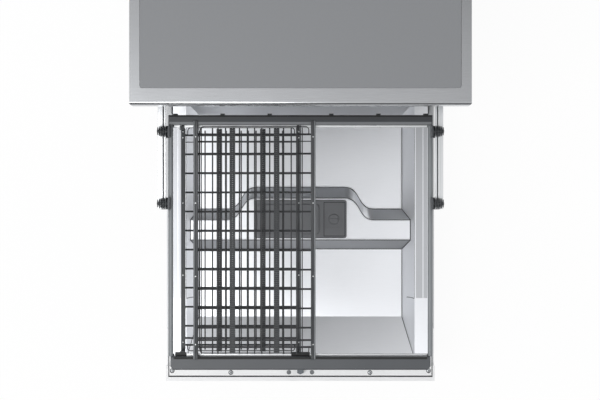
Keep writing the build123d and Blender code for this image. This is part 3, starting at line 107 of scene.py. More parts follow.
left = add(room, "ShaderNodeMapRange", {"Value": lean.outputs[0], "From Min": -0.35, "From Max": 0.35,
                                        "To Min": left_share, "To Max": right_share})
low = add(room, "ShaderNodeMapRange", {"Value": toward.outputs["Z"], "From Max": 0.6,
                                       "To Min": horizon_share, "To Max": 1.0})
along = add(room, "ShaderNodeMath", {0: front.outputs["Result"], 1: rear.outputs["Result"]}, operation="MULTIPLY")
along = add(room, "ShaderNodeMath", {0: along.outputs[0], 1: far.outputs["Result"]}, operation="MULTIPLY")
across = add(room, "ShaderNodeMath", {0: left.outputs["Result"], 1: low.outputs["Result"]}, operation="MULTIPLY")
strength = add(room, "ShaderNodeMath", {0: along.outputs[0], 1: across.outputs[0]}, operation="MULTIPLY")
glow = add(room, "ShaderNodeBackground", {"Color": linear("ffffff"), "Strength": strength.outputs[0]})
add(room, "ShaderNodeOutputWorld", {"Surface": glow.outputs["Background"]})

lamp = bpy.data.objects.new("soft_lamp", bpy.data.lights.new("soft_lamp", "AREA"))
lamp.data.size = 1.6
lamp.data.energy = 38
lamp.location = (-1.15, -1.0, 3.5)
lamp.rotation_euler = (Vector((0, 0, 0.4)) - lamp.location).to_track_quat("-Z", "Y").to_euler()
bpy.context.scene.collection.objects.link(lamp)

# Floor: matt white paper, which the camera, metal and glass see almost as plain white, with the machine's shadow on
# it. It lies just under the feet.
paper_half = 6
paper_z = -0.0006
plain_white_share = 0.93
floor_mesh = bpy.data.meshes.new("floor")
floor_mesh.from_pydata([(-paper_half, -paper_half, paper_z), (paper_half, -paper_half, paper_z),
                        (paper_half, paper_half, paper_z), (-paper_half, paper_half, paper_z)], [], [(0, 1, 2, 3)])
floor = bpy.data.objects.new("floor", floor_mesh)
bpy.context.scene.collection.objects.link(floor)
paper = bpy.data.materials.new("white_paper")
paper.use_nodes = True
tree = paper.node_tree
tree.nodes.clear()
fibres = add(tree, "ShaderNodeTexNoise", {"Scale": 60.0, "Detail": 4.0})
tone = add(tree, "ShaderNodeMix", {"Factor": fibres.outputs["Fac"], "A": linear("fafafa"), "B": linear("ffffff")},
           data_type="RGBA")
sheet = add(tree, "ShaderNodeBsdfDiffuse", {"Color": tone.outputs["Result"]})
white = add(tree, "ShaderNodeEmission", {"Color": linear("ffffff"), "Strength": 1.0})
rays = add(tree, "ShaderNodeLightPath")
seen = add(tree, "ShaderNodeMath", {0: rays.outputs["Is Camera Ray"], 1: rays.outputs["Is Glossy Ray"]},
           operation="ADD")
seen = add(tree, "ShaderNodeMath", {0: seen.outputs[0], 1: rays.outputs["Is Transmission Ray"]}, operation="ADD")
share = add(tree, "ShaderNodeMath", {0: seen.outputs[0], 1: plain_white_share}, operation="MULTIPLY", use_clamp=True)
mixed = add(tree, "ShaderNodeMixShader", {"Fac": share.outputs[0], 1: sheet.outputs[0], 2: white.outputs[0]})
add(tree, "ShaderNodeOutputMaterial", {"Surface": mixed.outputs[0]})
floor_mesh.materials.append(paper)

# Worktop: an anodised aluminium frame with a rounded front lip round an inset slab of grey laminate. The frame is
# brushed along the machine's width and drops over the cabinet; the slab lies a hair below its rim.


def new_finish(name):
    """A material for one finish, with its node tree, its shader and each point's place on the piece."""
    material = bpy.data.materials.new(name)
    material.use_nodes = True
    tree = material.node_tree
    return material, tree, tree.nodes["Principled BSDF"], add(tree, "ShaderNodeTexCoord").outputs["Object"]


def brushed_metal(name, colour, roughness, grain, stretch, contrast=0.08, relief_strength=0.06):
    """Brushed metal: the grain is fine scratches, a few hundredths of a millimetre wide, drawn coarser so that they
    show, and it gives long soft streaks in the reflections. The stretch says along which axis they run."""
    material, tree, shader, place = new_finish(name)
    spread = add(tree, "ShaderNodeMapping", {"Vector": place, "Scale": stretch})
    scratches = add(tree, "ShaderNodeTexNoise", {"Vector": spread.outputs[0], "Scale": 1 / grain, "Detail": 3.0})
    clouds = add(tree, "ShaderNodeTexNoise", {"Vector": place, "Scale": 6.0, "Detail": 2.0})
    streaks = add(tree, "ShaderNodeMapRange", {"Value": scratches.outputs["Fac"], "From Min": 0.3, "From Max": 0.7,
                                               "To Min": 1 - contrast, "To Max": 1.0})
    tint = add(tree, "ShaderNodeMix", {"Factor": 1.0, "A": linear(colour), "B": streaks.outputs["Result"]},
               data_type="RGBA", blend_type="MULTIPLY")
    gloss = add(tree, "ShaderNodeMapRange", {"Value": clouds.outputs["Fac"], "From Min": 0.3, "From Max": 0.7,
                                             "To Min": roughness * 0.9, "To Max": roughness * 1.1})
    relief = add(tree, "ShaderNodeBump", {"Height": scratches.outputs["Fac"], "Strength": relief_strength,
                                          "Distance": 0.0003})
    connect(tree, shader, {"Base Color": tint.outputs["Result"], "Roughness": gloss.outputs["Result"],
                           "Normal": relief.outputs["Normal"], "Metallic": 1.0})
    return material


def round_edges(piece, width):
    """Rounds a piece's sharp edges a little, as tools and presses leave them, so that they catch the light."""
    rounding = piece.modifiers.new("rounding", "BEVEL")
    rounding.width = width
    rounding.segments = 2
    rounding.angle_limit = math.radians(40)
    rounding.harden_normals = True


def dress(material, *names, edge=0.0):
    """Gives CAD nodes their material, and rounds their sharp edges where a width is given. The solids' faces come
    with points of their own, which a weld joins first."""
    for name in names:
        piece = nodes[name]
        piece.data.materials.clear()
        piece.data.materials.append(material)
        if edge:
            weld = piece.modifiers.new("weld", "WELD")
            weld.merge_threshold = 0.00001
            round_edges(piece, edge)


anodised_aluminium = brushed_metal("anodised_aluminium", "c2c4c7", 0.22, 0.0012, (0.05, 1, 1), 0.06)
dress(anodised_aluminium, "worktop_frame", edge=0.0006)

# The laminate is printed and pressed paper under resin: a speckle about a millimetre across and slow changes of
# gloss keep the slab even but not dead flat.
speckles_per_metre = 900.0
grey_laminate, tree, shader, place = new_finish("grey_laminate")
speckle = add(tree, "ShaderNodeTexNoise", {"Vector": place, "Scale": speckles_per_metre, "Detail": 2.0})
cloud = add(tree, "ShaderNodeTexNoise", {"Vector": place, "Scale": 3.0, "Detail": 1.0})
shade = add(tree, "ShaderNodeMix", {"Factor": speckle.outputs["Fac"], "A": linear("7a7c7f"), "B": linear("818386")},
            data_type="RGBA")
sheen = add(tree, "ShaderNodeMapRange", {"Value": cloud.outputs["Fac"], "To Min": 0.42, "To Max": 0.52})
grain = add(tree, "ShaderNodeBump", {"Height": speckle.outputs["Fac"], "Strength": 0.08, "Distance": 0.0002})
connect(tree, shader, {"Base Color": shade.outputs["Result"], "Roughness": sheen.outputs["Result"],
                       "Normal": grain.outputs["Normal"], "IOR": 1.5})
dress(grey_laminate, "worktop_panel", edge=0.0005)

# Cabinet sides, and the door's outer skin further down: folded sheet steel with a baked silver-grey coat. The coat
# has a very fine orange peel and tiny metal flakes, so it looks even from afar and softens every reflection.


def baked_coat(name, colour, dark, roughness):
    """A baked coat on sheet metal: flakes about half a millimetre across and an orange peel of 2 mm."""
    material, tree, shader, place = new_finish(name)
    flakes = add(tree, "ShaderNodeTexVoronoi", {"Vector": place, "Scale": 1900.0})
    peel = add(tree, "ShaderNodeTexNoise", {"Vector": place, "Scale": 500.0, "Detail": 1.0})
    shade = add(tree, "ShaderNodeMix", {"Factor": flakes.outputs["Distance"], "A": linear(colour), "B": linear(dark)},
                data_type="RGBA")
    relief = add(tree, "ShaderNodeBump", {"Height": peel.outputs["Fac"], "Strength": 0.05, "Distance": 0.0004})
    connect(tree, shader, {"Base Color": shade.outputs["Result"], "Normal": relief.outputs["Normal"],
                           "Roughness": roughness, "Metallic": 0.35})
    return material


silver_coat = baked_coat("silver_baked_coat", "c6c8ca", "b4b6b8", 0.38)
dress(silver_coat, "side_panels", edge=0.0004)

# Rear panel, crossbar, hinge brackets and arms: bare zinc-coated sheet. The zinc froze in crystals about a
# centimetre across, which gives a faint patchwork of greys.
crystals_per_metre = 90.0
zinc_sheet, tree, shader, place = new_finish("zinc_coated_sheet")
crystals = add(tree, "ShaderNodeTexVoronoi", {"Vector": place, "Scale": crystals_per_metre})
patch = add(tree, "ShaderNodeSeparateColor", {"Color": crystals.outputs["Color"]})
shade = add(tree, "ShaderNodeMix", {"Factor": patch.outputs["Red"], "A": linear("9b9ea1"), "B": linear("b4b7ba")},
            data_type="RGBA")
sheen = add(tree, "ShaderNodeMapRange", {"Value": patch.outputs["Green"], "To Min": 0.34, "To Max": 0.52})
connect(tree, shader, {"Base Color": shade.outputs["Result"], "Roughness": sheen.outputs["Result"], "Metallic": 1.0})
dress(zinc_sheet, "rear_panel", "front_crossbar", "hinge_brackets", "hinge_arms", edge=0.0003)

# Base, plinth, feet and lock: glass-filled polypropylene, moulded black. The mould's grain leaves it dull, so it
# looks dark grey where light falls on it.


def moulded_plastic(name, colour, light, roughness, grain=0.0008):
    """Moulded plastic: the mould's spark-eroded grain is under a millimetre and breaks up the highlights."""
    material, tree, shader, place = new_finish(name)
    texture = add(tree, "ShaderNodeTexNoise", {"Vector": place, "Scale": 1 / grain, "Detail": 2.0})
    cloud = add(tree, "ShaderNodeTexNoise", {"Vector": place, "Scale": 18.0, "Detail": 2.0})
    shade = add(tree, "ShaderNodeMix", {"Factor": cloud.outputs["Fac"], "A": linear(colour), "B": linear(light)},
                data_type="RGBA")
    relief = add(tree, "ShaderNodeBump", {"Height": texture.outputs["Fac"], "Strength": 0.12, "Distance": 0.0002})
    gloss = add(tree, "ShaderNodeMapRange", {"Value": texture.outputs["Fac"], "From Min": 0.3, "From Max": 0.7,
                                             "To Min": roughness * 0.88, "To Max": roughness * 1.12})
    connect(tree, shader, {"Base Color": shade.outputs["Result"], "Roughness": gloss.outputs["Result"],
                           "Normal": relief.outputs["Normal"], "IOR": 1.5})
    return material


black_polypropylene = moulded_plastic("black_polypropylene", "2f3234", "3a3d3f", 0.55)
dress(black_polypropylene, "base_tray", "plinth", "levelling_feet", "door_lock", edge=0.0008)

# Tub shell: bright stainless sheet, drawn and welded, brushed up and down its walls, which draws out reflections.
# Tub floor, sump and softener: grey polypropylene, moulded smooth, so that they are a little glossier than the base.
tub_stainless = brushed_metal("tub_stainless", "e2e4e6", 0.3, 0.0015, (1, 1, 0.06), 0.07)
dress(tub_stainless, "tub_shell", edge=0.0003)
grey_polypropylene = moulded_plastic("grey_polypropylene", "a9abab", "b4b6b6", 0.42)
dress(grey_polypropylene, "tub_floor", "sump", "softener", edge=0.0008)

# Tub gasket: a soft black rubber tube pressed into the rim of the tub all round. It is matt and slightly dusty, so
# it stays dark without a highlight.
seal_rubber = moulded_plastic("seal_rubber", "262728", "313233", 0.75, 0.002)
dress(seal_rubber, "tub_gasket", edge=0.0012)

# Flat filter: a stainless plate, brushed the same way all round, so that it looks like plain grey metal.
# Micro filter and salt cap: moulded grey plastic with a soft shine on their ribs.
filter_stainless = brushed_metal("filter_stainless", "bcbec0", 0.34, 0.002, (1, 1, 1), 0.1)
dress(filter_stainless, "flat_filter", edge=0.0002)
filter_plastic = moulded_plastic("filter_plastic", "6d7073", "787b7e", 0.45)
dress(filter_plastic, "micro_filter", "salt_cap", edge=0.0006)

# Pumps: aluminium cans, whose casting leaves them dull and mottled. Inlet valve and drain outlet: white polyamide,
# moulded, slightly yellowish and half matt.
cast_aluminium = brushed_metal("cast_aluminium", "9a9da0", 0.5, 0.003, (1, 1, 1), 0.14)
dress(cast_aluminium, "circulation_pump", "drain_pump", edge=0.0008)
white_polyamide = moulded_plastic("white_polyamide", "dcdcd8", "e6e6e2", 0.5)
dress(white_polyamide, "inlet_valve", "drain_outlet", edge=0.0006)

# Door springs: close-wound steel wire, hooked between each hinge bracket and the base. It is oiled, so it is dark
# and glints.
spring_steel = brushed_metal("spring_steel", "8a8d90", 0.36, 0.001, (1, 1, 1), 0.12)
dress(spring_steel, "door_springs", edge=0.0003)

# Feed pipe, feed tube and spray arms: light grey polypropylene, each moulded as two halves and welded. The smooth
# moulds leave them half glossy.
duct_polypropylene = moulded_plastic("duct_polypropylene", "85888b", "909396", 0.4)
dress(duct_polypropylene, "feed_pipe", "upper_feed_tube", "ceiling_spray_arm", "upper_spray_arm", "lower_spray_arm",
      edge=0.001)

# Slides: the guides are moulded and fixed to the tub, the rails are polished stainless. Each rail has a groove along
# its top, and a dark strip laid in it is painted shade of the groove, which stays grey between the two bright edges.
rail_stainless = brushed_metal("rail_stainless", "e2e4e6", 0.3, 0.0012, (1, 0.03, 1), 0.03, 0.01)
dress(rail_stainless, "third_rails", "upper_rails", edge=0.0006)
guide_plastic = moulded_plastic("guide_plastic", "8f9294", "9a9d9f", 0.5)
dress(guide_plastic, "rail_guides", edge=0.0005)
# painted shade: a dark strip sunk in each rail's groove stands for the shade inside the groove
groove_shade_strip = moulded_plastic("groove_shade_strip", "34373a", "404346", 0.5)
strip_half = 0.0007
strip_inset = 0.0106
strip_depth = 0.0016
strip_sunk = 0.0001
strip_end_gap = 0.001


def mesh_piece(name, verts, faces, material, body, edge=0.0):
    """A piece made of its own points and faces, which rides on a body; its edges are rounded if a width is given."""
    mesh = bpy.data.meshes.new(name)
    mesh.from_pydata([tuple(v) for v in verts], [], faces)
    shape = bmesh.new()
    shape.from_mesh(mesh)
    bmesh.ops.recalc_face_normals(shape, faces=shape.faces)
    shape.to_mesh(mesh)
    shape.free()
    mesh.shade_smooth()
    mesh.set_sharp_from_angle(angle=math.radians(35))
    mesh.materials.append(material)
    piece = bpy.data.objects.new(name, mesh)
    bpy.context.scene.collection.objects.link(piece)
    if edge:
        round_edges(piece, edge)
    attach(piece, body)
    return piece


def profiles(name, axis, lengths, material, body, edge=0.0):
    """Straight lengths of moulding as one piece: each has an outline across the axis, a start and an end."""
    verts, faces = [], []
    for outline, start, end in lengths:
        first, count = len(verts), len(outline)
        for reach in (start, end):
            for across, up in outline:
                verts.append((reach, across, up) if axis == "X" else (across, reach, up))
        faces.append(tuple(first + i for i in range(count)))
        faces.append(tuple(first + count + i for i in reversed(range(count))))
        for i in range(count):
            j = (i + 1) % count
            faces.append((first + i, first + j, first + count + j, first + count + i))
    return mesh_piece(name, verts, faces, material, body, edge)


def plate(start, end, base, top):
    """A rectangle across a moulding's axis."""
    return [(start, base), (end, base), (end, top), (start, top)]


for node in ("third_rails", "upper_rails"):
    low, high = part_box(node)
    strip_x = high.x - strip_inset
    strips = [(plate(side * strip_x - strip_half, side * strip_x + strip_half, high.z - strip_depth,
                     high.z - strip_sunk), low.y + strip_end_gap, high.y - strip_end_gap) for side in (-1, 1)]
    profiles(f"{node}_strips", "Y", strips, groove_shade_strip, node)

# Third-level rack: two bars moulded in dark grey polypropylene, like the brackets and clips; the back bar is coloured
# darker still as painted shade. A pale strip of painted highlight and a black strip of painted edge shadow are let
# into their tops, and a bright steel runner lies on each bar's ledge, where the trays' hooks slide.
dark_polypropylene = moulded_plastic("dark_polypropylene", "43464a", "4b4e52", 0.42)
dress(dark_polypropylene, "third_front_bar", "third_roller_brackets", "upper_roller_brackets", "wheel_clips",
      edge=0.0008)
# painted shade: the back bar is the front bar's plastic made darker, for the shadow the worktop casts on it
back_bar_shade_polypropylene = moulded_plastic("back_bar_shade_polypropylene", "2e3135", "373a3e", 0.42)
dress(back_bar_shade_polypropylene, "third_back_bar", edge=0.0008)
# painted highlight: a paler strip along the back bar's front edge, for the light its front chamfer catches
highlight_strip_polypropylene = moulded_plastic("highlight_strip_polypropylene", "6f7275", "797c7f", 0.42)
# painted shadow: black strips along the bars' rear edges, where their rear faces fall into shade
edge_shadow_polypropylene = moulded_plastic("edge_shadow_polypropylene", "121314", "1a1b1c", 0.7, 0.0015)
back_low, back_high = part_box("third_back_bar")
front_low, front_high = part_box("third_front_bar")
bar_top = back_high.z
ledge_depth = 0.004
bars_rear = back_low.y + ledge_depth
bars_front = front_high.y - ledge_depth
inlay_base, inlay_top = bar_top - 0.0006, bar_top + 0.0002
back_reach = back_high.x - 0.002
front_reach = front_high.x - 0.006
runner_half = 0.2330
runner_base, runner_top = back_low.z + 0.0026, back_low.z + 0.0032
# each strip from front to back, and half its length
highlight_strips = ((bars_rear + 0.0004, bars_rear + 0.0053, back_reach),)
edge_shadow_strips = ((bars_rear + 0.0145, bars_rear + 0.0176, back_reach),
              (bars_front - 0.0042, bars_front - 0.0003, front_reach))
runner_strips = ((bars_rear - 0.0038, bars_rear - 0.0002, runner_half),
                 (bars_front + 0.0002, bars_front + 0.0038, runner_half))
for name, strips, base, top, material in (
        ("third_back_bar_highlight_strip", highlight_strips, inlay_base, inlay_top, highlight_strip_polypropylene),
        ("third_bar_edge_shadows", edge_shadow_strips, inlay_base, inlay_top, edge_shadow_polypropylene),
        ("third_bar_runners", runner_strips, runner_base, runner_top, rail_stainless)):
    lengths = [(plate(start, end, base, top), -half, half) for start, end, half in strips]
    profiles(name, "X", lengths, material, "third_rack")

# Side tubes: thin steel tubes in a grey coat that join the third rack's two bars. Their round section makes them
# look darker along both edges.


def coated_wire(name, colour, light):
    """Steel in a plastic coat, dipped and baked: the coat runs a little and stays half glossy."""
    return moulded_plastic(name, colour, light, 0.36, 0.003)


grey_coated_tube = coated_wire("grey_coated_tube", "74787b", "7e8285")
tube_radius = 0.0046
tube_x = 0.238
tube_sides = 24
rod_low, rod_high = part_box("third_side_rods")
tube_z = (rod_low.z + rod_high.z) / 2


def circle(radius, sides):
    """Points round a circle, as two offsets from its centre."""
    angles = [2 * math.pi * step / sides for step in range(sides)]
    return [(radius * math.cos(angle), radius * math.sin(angle)) for angle in angles]


tubes = [([(side * tube_x + across, tube_z + up) for across, up in circle(tube_radius, tube_sides)],
          rod_low.y, rod_high.y) for side in (-1, 1)]
side_tubes = profiles("third_side_tubes", "Y", tubes, grey_coated_tube, "third_rack")
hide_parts("third_side_rods")

# Ribbed rollers: each is a stack of thin discs on one hub, moulded in acetal, and runs on the rail's top edge. The
# discs are smaller towards both ends, and the deep grooves between them let crumbs fall through.
roller_acetal = moulded_plastic("roller_acetal", "4b4e51", "56595c", 0.4)
roller_width = 0.019
disc_count = 7
disc_share = 0.36
disc_round = 0.0003
hub_share = 0.38
end_fall = 0.7
bore_radius = 0.00305
turned_steps = 48


def lathe(name, outline, centre, material, body):
    """A round piece turned about an axis along X through a centre, from an outline of X offsets and radii."""
    verts, faces = [], []
    for offset, radius in outline:
        for across, up in circle(radius, turned_steps):
            verts.append((centre[0] + offset, centre[1] + across, centre[2] + up))
    count = len(outline)
    for ring in range(count):
        for step in range(turned_steps):
            a, b = ring * turned_steps, (ring + 1) % count * turned_steps
            ahead = (step + 1) % turned_steps
            faces.append((a + step, a + ahead, b + ahead, b + step))
    return mesh_piece(name, verts, faces, material, body)


def turned_pair(node, width, outline):
    """The two like pieces on one axle line, in the place of the CAD node whose body they turn with."""
    low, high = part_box(node)
    centre_y = (low.y + high.y) / 2
    centre_z = (low.z + high.z) / 2
    for side, inner in (("left", low.x), ("right", high.x - width)):
        piece = lathe(f"{node}_{side}", outline, (inner, centre_y, centre_z), roller_acetal, node)
        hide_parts(node)


def ribbed_rollers(node):
    """The two ribbed rollers of one axle line."""
    low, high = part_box(node)
    radius = (high.y - low.y) / 2
    pitch = roller_width / (disc_count - 1 + disc_share)
    outline = [(0, bore_radius)]
    for disc in range(disc_count):
        start = disc * pitch
        end = start + pitch * disc_share
        spread = (2 * disc / (disc_count - 1) - 1) * end_fall
        rim = radius * math.sqrt(1 - spread * spread)
        outline += [(start, rim - disc_round), (start + disc_round, rim), (end - disc_round, rim),
                    (end, rim - disc_round)]
        if disc < disc_count - 1:
            outline += [(end, rim * hub_share), (start + pitch, rim * hub_share)]
    outline.append((roller_width, bore_radius))
    turned_pair(node, roller_width, outline)


for node in ("third_rollers_rear", "third_rollers_front", "upper_rollers_rear", "upper_rollers_front"):
    ribbed_rollers(node)

# Sliding trays: two trays of one size, each a net of steel wire in a dark coat under two bars that carry it. Thin
# wire loops run out towards the rack's bars. The right tray has been slid over the left one, which hangs 40 mm lower.
dark_coated_wire = coated_wire("dark_coated_wire", "222427", "2b2d30")
tray_cross_pitch = 0.0355
tray_cross_wires = 12
end_row_step = 0.0128
lengthwise_radius = 0.00125
cross_radius = 0.0018
end_wire_radius = 0.0009
weld_depth = 0.0004
lengthwise_places = (0.0, 0.0132, 0.0277, 0.0532, 0.0672, 0.0772)
wire_end_gap = 0.004
cross_end_gap = 0.001
rear_loop_reach, front_loop_reach = 0.0028, 0.0062
end_loop_half = 0.0995
end_loop_corner = 0.007


def rounded(points, radius, steps=5):
    """A path whose inner corners are arcs of one radius."""
    points = [Vector(p) for p in points]
    path = [points[0]]
    for before, corner, after in zip(points, points[1:], points[2:]):
        back = (before - corner).normalized()
        ahead = (after - corner).normalized()
        turn = math.pi - back.angle(ahead)
        if turn < 0.02:
            path.append(corner)
            continue
        reach = min(radius * math.tan(turn / 2), (before - corner).length / 2.01, (after - corner).length / 2.01)
        start, end = corner + back * reach, corner + ahead * reach
        for step in range(steps + 1):
            t = step / steps
            path.append(start * (1 - t) ** 2 + corner * 2 * t * (1 - t) + end * t ** 2)
    return path + [points[-1]]


def ring_path(points, radius):
    """A closed path with rounded corners, which starts and ends in the middle of its last side."""
    start = (Vector(points[-1]) + Vector(points[0])) / 2
    return rounded([start, *points, start], radius)


def wires(name, runs, radius, material, body, sides=8):
    """Round wires as one piece. A run that ends where it starts is a closed ring."""
    verts, faces = [], []
    for run in runs:
        path = [Vector(p) for p in run]
        closed = (path[0] - path[-1]).length < 1e-7
        if closed:
            path = path[:-1]
        count = len(path)
        normal = None
        first = len(verts)
        for i, point in enumerate(path):
            before = path[i - 1] if i or closed else point
            after = path[(i + 1) % count] if i < count - 1 or closed else point
            along = (after - before).normalized()
            if normal is None:
                normal = along.orthogonal().normalized()
            normal = (normal - along * normal.dot(along)).normalized()
            across = along.cross(normal)
            for side in range(sides):
                angle = 2 * math.pi * side / sides
                verts.append(point + normal * radius * math.cos(angle) + across * radius * math.sin(angle))
        for i in range(count if closed else count - 1):
            a, b = first + i * sides, first + (i + 1) % count * sides
            for side in range(sides):
                ahead = (side + 1) % sides
                faces.append((a + side, a + ahead, b + ahead, b + side))
        if not closed:
            faces.append(tuple(first + side for side in reversed(range(sides))))
            faces.append(tuple(first + (count - 1) * sides + side for side in range(sides)))
    return mesh_piece(name, verts, faces, material, body)


def tray_net(node, body, thin_places):
    """A tray's net: lengthwise wires on top of cross wires, thin ones between, and at each end a thin loop."""
    low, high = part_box(node)
    middle_x = (low.x + high.x) / 2
    middle_y = (low.y + high.y) / 2
    top = high.z - lengthwise_radius
    below = high.z - 2 * lengthwise_radius - cross_radius + weld_depth
    front, back = low.y + wire_end_gap, high.y - wire_end_gap
    places = sorted({side * place for place in lengthwise_places for side in (-1, 1)})
    runs = [[(middle_x + place, front, top), (middle_x + place, back, top)] for place in places]
    lengthwise = wires(f"{node}_lengthwise", runs, lengthwise_radius, dark_coated_wire, body)
    rows = [middle_y + (row - (tray_cross_wires - 1) / 2) * tray_cross_pitch for row in range(tray_cross_wires)]
    doubled = rows + [rows[0] + end_row_step]
    cross = wires(f"{node}_cross", [[(low.x + cross_end_gap, y, below), (high.x - cross_end_gap, y, below)]
                                    for y in doubled], cross_radius, dark_coated_wire, body)
    runs = []
    for end, inner in ((bars_rear - rear_loop_reach, rows[-1]), (bars_front + front_loop_reach, rows[0])):
        runs.append(rounded([(middle_x - end_loop_half, inner, top), (middle_x - end_loop_half, end, top),
                             (middle_x + end_loop_half, end, top), (middle_x + end_loop_half, inner, top)],
                            end_loop_corner))
    thin_row = rows[-1] - end_row_step
    runs.append([(low.x + wire_end_gap, thin_row, below), (high.x - wire_end_gap, thin_row, below)])
    for place in thin_places:
        runs.append([(middle_x + place, front, top), (middle_x + place, back, top)])
    loops = wires(f"{node}_loops", runs, end_wire_radius, dark_coated_wire, body)
    for piece in (lengthwise, cross, loops):
        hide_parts(node)


tray_net("left_tray_net", "left_tray", ())
tray_net("right_tray_net", "right_tray", (-0.0975, 0.0875))

# Tray bars: each tray hangs on two moulded bars, dark inside, with a lighter grey flank outside that is painted
# light for the lit side of the rounded bar, and has two toothed combs to part the cutlery. Bright rivets hold the
# net.
# The right tray's bars rest on the rack's bars with short hooks; the left tray's hang lower on posts, whose hangers
# lie on the ledges and have black shoes in front.
tray_bar_plastic = moulded_plastic("tray_bar_plastic", "2a2d30", "34373a", 0.4)
# painted light: the outer flank is a lighter copy of the bar's plastic, for the light falling on that side
lit_flank_plastic = moulded_plastic("lit_flank_plastic", "65686b", "717477", 0.42)
black_shoe_plastic = moulded_plastic("black_shoe_plastic", "151617", "1d1e20", 0.5)
rivet_steel = brushed_metal("rivet_steel", "d8dadc", 0.3, 0.0008, (1, 1, 1), 0.03, 0.01)
tray_bar_pitch = 0.215
tray_bar_width = 0.0086
tray_bar_depth = 0.008
flank_width = 0.0036
flank_drop = 0.0008
seat_gap = 0.0003
tray_front, tray_back = bars_front + seat_gap, bars_rear - seat_gap
rivet_places = (0.0105, 0.0215, 0.1426, 0.2765, 0.4012, 0.4159)
rivet_rings = ((0.0013, 0.0), (0.0011, 0.0005), (0.0005, 0.0007))
rivet_sides = 10
comb_offset = 0.0405
comb_width = 0.0098
comb_rib = 0.0048
comb_rib_place = 0.0027
comb_rib_height = 0.004
comb_end_gap = 0.005
comb_pitch = 0.0038
comb_tooth = 0.0029
comb_teeth_margin = 0.014
comb_rise = 0.003
tooth_gap = 0.0002


def turned_heads(name, places, rings, sides, material, body):
    """Flat round heads on a level face: each place gets rings of a radius and a height, closed at the top."""
    verts, faces = [], []
    for place_x, place_y, place_z in places:
        first = len(verts)
        for radius, rise in rings:
            for right, back in circle(radius, sides):
                verts.append((place_x + right, place_y + back, place_z + rise))
        for ring in range(len(rings) - 1):
            for step in range(sides):
                a, b = first + ring * sides + step, first + ring * sides + (step + 1) % sides
                faces.append((a, b, b + sides, a + sides))
        faces.append(tuple(first + (len(rings) - 1) * sides + step for step in range(sides)))
        faces.append(tuple(first + step for step in reversed(range(sides))))
    return mesh_piece(name, verts, faces, material, body)


def tray_bars(node, body, centre, top, outline):
    """A tray's two bars with their rivets, and its two combs, in the place of their CAD node."""
    bars, flanks = [], []
    low_outline = [(y, z - flank_drop if z > top - 0.001 else z) for y, z in outline]
    for side in (-1, 1):
        outer = centre + side * (tray_bar_pitch / 2 + tray_bar_width / 2)
        seam = outer - side * flank_width
        bars.append((outline, *sorted((seam - side * (tray_bar_width - flank_width), seam))))
        flanks.append((low_outline, *sorted((seam, outer))))
    pieces = [profiles(f"{node}_pair", "X", bars, tray_bar_plastic, body, 0.0010),
              profiles(f"{node}_flanks", "X", flanks, lit_flank_plastic, body, 0.0014)]
    rivets = [(bar_x, tray_back - place, top)
              for bar_x in (centre - tray_bar_pitch / 2, centre + tray_bar_pitch / 2) for place in rivet_places]
    pieces.append(turned_heads(f"{node}_rivets", rivets, rivet_rings, rivet_sides, rivet_steel, body))
    teeth = []
    base = top - tray_bar_depth
    count = int((tray_back - tray_front - comb_teeth_margin) / comb_pitch)
    for comb_x in (centre - comb_offset, centre + comb_offset):
        for rib in (-1, 1):
            rib_x = comb_x + rib * comb_rib_place
            teeth.append((plate(tray_front + comb_end_gap, tray_back - comb_end_gap, base, base + comb_rib_height),
                          rib_x - comb_rib / 2, rib_x + comb_rib / 2))
        for tooth in range(count + 1):
            y = (tray_back + tray_front) / 2 + (tooth - count / 2) * comb_pitch
            teeth.append((plate(y - comb_tooth / 2, y + comb_tooth / 2, base + tooth_gap, top + comb_rise),
                          comb_x - comb_width / 2 + tooth_gap, comb_x + comb_width / 2 - tooth_gap))
    pieces.append(profiles(f"{node}_combs", "X", teeth, tray_bar_plastic, body))
    for piece in pieces:
        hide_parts(node)


right_low, right_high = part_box("right_tray_bars")
hook_base, hook_top = bar_top + seat_gap, bar_top + 0.0033
back_hook, front_hook = 0.0082, 0.0045
hook_root, hook_slope = 0.012, 0.020
tray_bars("right_tray_bars", "right_tray", (right_low.x + right_high.x) / 2, bar_top, [
    (tray_front, bar_top - tray_bar_depth), (tray_back, bar_top - tray_bar_depth), (tray_back, hook_base),
    (tray_back + back_hook, hook_base), (tray_back + back_hook, hook_top), (tray_back - hook_root, hook_top),
    (tray_back - hook_slope, bar_top), (tray_front + hook_slope, bar_top), (tray_front + hook_root, hook_top),
    (tray_front - front_hook, hook_top), (tray_front - front_hook, hook_base), (tray_front, hook_base)])
left_low, left_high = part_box("left_tray_net")
left_top = bar_top - 0.040
post_gap = 0.004
post_width = 0.005
left_back, left_front = tray_back - post_gap, tray_front + post_gap
hanger_base, hanger_top = front_low.z + 0.0033, front_low.z + 0.0063
tray_bars("left_tray_bars", "left_tray", (left_low.x + left_high.x) / 2, left_top, [
    (left_front, left_top - tray_bar_depth), (left_back, left_top - tray_bar_depth), (left_back, hanger_base),
    (tray_back, hanger_base), (tray_back, hanger_top), (left_back - post_width, hanger_top),
    (left_back - post_width, left_top), (left_front + post_width, left_top), (left_front + post_width, hanger_top),
    (tray_front, hanger_top), (tray_front, hanger_base), (left_front, hanger_base)])
shoe_depth = 0.007
shoe_outline = [(tray_front, hanger_base), (tray_front, hanger_top + 0.0006),
                (tray_front + shoe_depth, hanger_top + 0.0004), (tray_front + shoe_depth, hanger_base)]
bar_inset = 0.0033
shoe_spans = ((left_low.x + bar_inset, 0.0125, 0.0080), (left_high.x - bar_inset, 0.0142, 0.0200))
shoes = [(shoe_outline, bar_x - to_left, bar_x + to_right) for bar_x, to_left, to_right in shoe_spans]
shoe_pair = profiles("left_tray_shoes", "X", shoes, black_shoe_plastic, "left_tray", 0.0007)
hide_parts("left_tray_bars")

